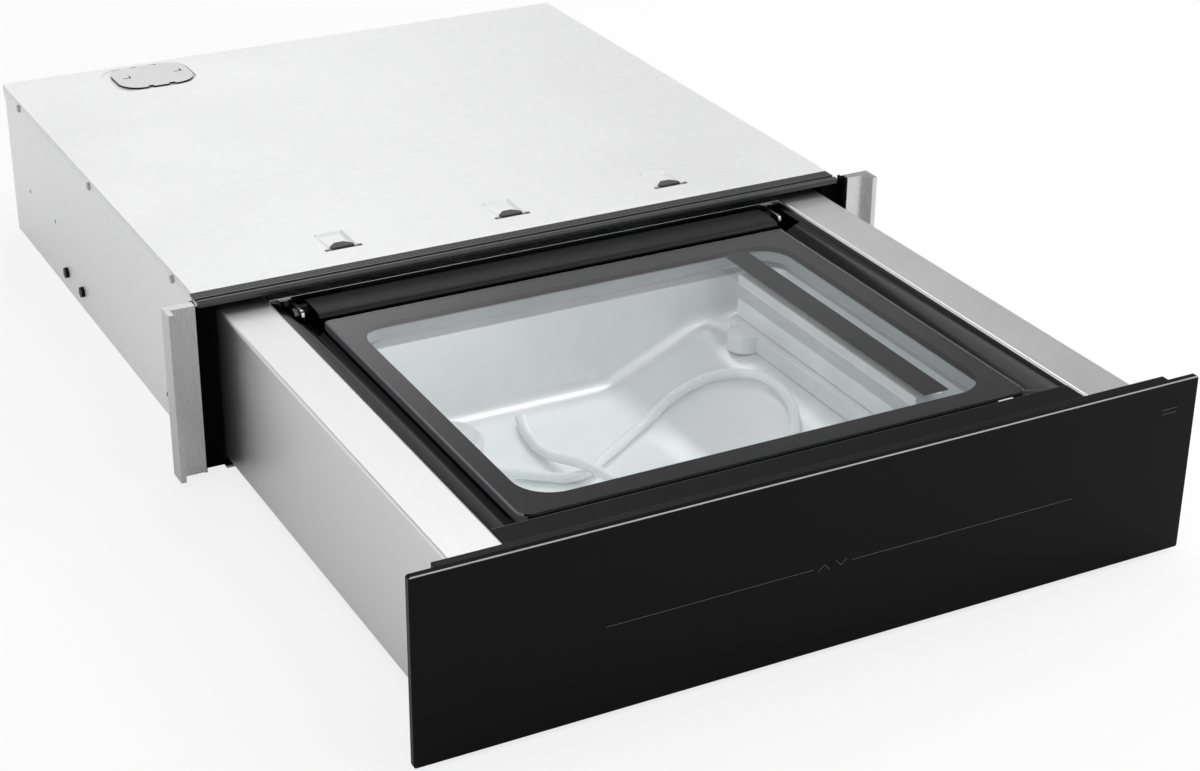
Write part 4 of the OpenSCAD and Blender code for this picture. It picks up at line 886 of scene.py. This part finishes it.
def floor_paper():
    s = Shader("floor_paper", Roughness=0.8)
    tone = s.ramp(s.noise(30), [(0.2, grey(0.84)), (0.8, grey(0.86))])
    s.link(tone, "Color", s.body, "Base Color")
    glow = s.nodes.new("ShaderNodeEmission")
    path = s.nodes.new("ShaderNodeLightPath")
    seen = s.math("MULTIPLY", path.outputs["Is Camera Ray"], FLOOR_WHITE)
    mirrored = s.math("MAXIMUM", path.outputs["Is Glossy Ray"], path.outputs["Is Transmission Ray"])
    white = s.math("MAXIMUM", seen, s.math("MULTIPLY", mirrored, FLOOR_WHITE_MIRRORED))
    mix = s.nodes.new("ShaderNodeMixShader")
    s.links.new(white, mix.inputs["Fac"])
    s.links.new(s.body.outputs["BSDF"], mix.inputs[1])
    s.links.new(glow.outputs["Emission"], mix.inputs[2])
    s.link(mix, "Shader", s.output, "Surface")
    return s.material


floor_mesh = bpy.data.meshes.new("studio_floor")
floor_mesh.from_pydata([(-FLOOR_HALF, -FLOOR_HALF, 0), (FLOOR_HALF, -FLOOR_HALF, 0),
                        (FLOOR_HALF, FLOOR_HALF, 0), (-FLOOR_HALF, FLOOR_HALF, 0)], [], [(0, 1, 2, 3)])
floor_plane = add_object("studio_floor", floor_mesh)
floor_plane.data.materials.append(floor_paper())

SOFT_LEVEL = 0.7
AROUND = [(0.0, 1.0), (0.30, 1.5), (0.36, 1.45), (0.40, 1.1), (0.44, 0.75), (0.50, 0.6), (0.62, 0.47),
          (0.9, 0.4)]
UPWARD = [(0.0, 1.0), (0.41, 1.0), (0.445, 0.72), (0.48, 0.5), (0.60, 0.42), (0.9, 0.4)]
RAMP_TOP = 2.0


def studio_world():
    """An even soft light; what gloss and metal mirror changes with the direction, as in a studio."""
    world = bpy.data.worlds.new("studio")
    world.use_nodes = True
    bpy.context.scene.world = world
    tree = world.node_tree
    tree.nodes.clear()

    def joined(kind, sources, **settings):
        node = tree.nodes.new(kind)
        for key, value in settings.items():
            setattr(node, key, value)
        for place, source in zip(node.inputs, sources):
            if isinstance(source, (int, float, tuple)):
                place.default_value = source
            else:
                tree.links.new(source, place)
        return node

    def stepped(source, stops):
        node = joined("ShaderNodeValToRGB", [source])
        elements = node.color_ramp.elements
        while len(elements) < len(stops):
            elements.new(0.5)
        for element, (place, level) in zip(elements, stops):
            element.position = place
            element.color = (*grey(level / RAMP_TOP), 1)
        return node.outputs["Color"]

    direction = tree.nodes.new("ShaderNodeTexCoord").outputs["Generated"]
    flat = joined("ShaderNodeVectorMath", [direction, (1, 1, 0)], operation="MULTIPLY")
    level = joined("ShaderNodeVectorMath", [flat.outputs[0]], operation="NORMALIZE")
    around = joined("ShaderNodeSeparateXYZ", [level.outputs[0]]).outputs["X"]
    upward = joined("ShaderNodeSeparateXYZ", [direction]).outputs["Z"]
    product = joined("ShaderNodeMath", [stepped(around, AROUND), stepped(upward, UPWARD)],
                     operation="MULTIPLY")
    strength = joined("ShaderNodeMath", [product.outputs[0], RAMP_TOP * RAMP_TOP], operation="MULTIPLY")
    path = tree.nodes.new("ShaderNodeLightPath")
    mirrored = joined("ShaderNodeMath", [path.outputs["Is Glossy Ray"], path.outputs["Is Transmission Ray"]],
                      operation="MAXIMUM")
    soft = joined("ShaderNodeBackground", [(1, 1, 1, 1), SOFT_LEVEL])
    studio = joined("ShaderNodeBackground", [(1, 1, 1, 1), strength.outputs[0]])
    plain = joined("ShaderNodeBackground", [(1, 1, 1, 1), 1.0])
    lit = joined("ShaderNodeMixShader", [mirrored.outputs[0], soft.outputs[0], studio.outputs[0]])
    seen = joined("ShaderNodeMixShader", [path.outputs["Is Camera Ray"], lit.outputs[0], plain.outputs[0]])
    joined("ShaderNodeOutputWorld", [seen.outputs[0]])


studio_world()


def area_light(name, place, target, size, power):
    data = bpy.data.lights.new(name, "AREA")
    data.shape = "RECTANGLE"
    data.size, data.size_y = size
    data.energy = power
    lamp = bpy.data.objects.new(name, data)
    lamp.location = place
    direction = Vector(target) - Vector(place)
    lamp.rotation_euler = direction.to_track_quat("-Z", "Y").to_euler()
    bpy.context.scene.collection.objects.link(lamp)
    return lamp


area_light("key_box", (1.7, -0.2, 1.6), (0, -0.1, 0.05), (1.1, 1.1), 18)
area_light("back_box", (0.7, 1.3, 2.0), (0, -0.1, 0.05), (1.2, 1.0), 7)
area_light("front_box", (0.9, -1.4, 1.9), (0, -0.2, 0.05), (1.0, 1.0), 7)
area_light("fill_box", (-2.2, -0.6, 1.4), (0, 0, 0.05), (1.4, 1.4), 5)

bpy.context.scene.view_settings.view_transform = "Standard"
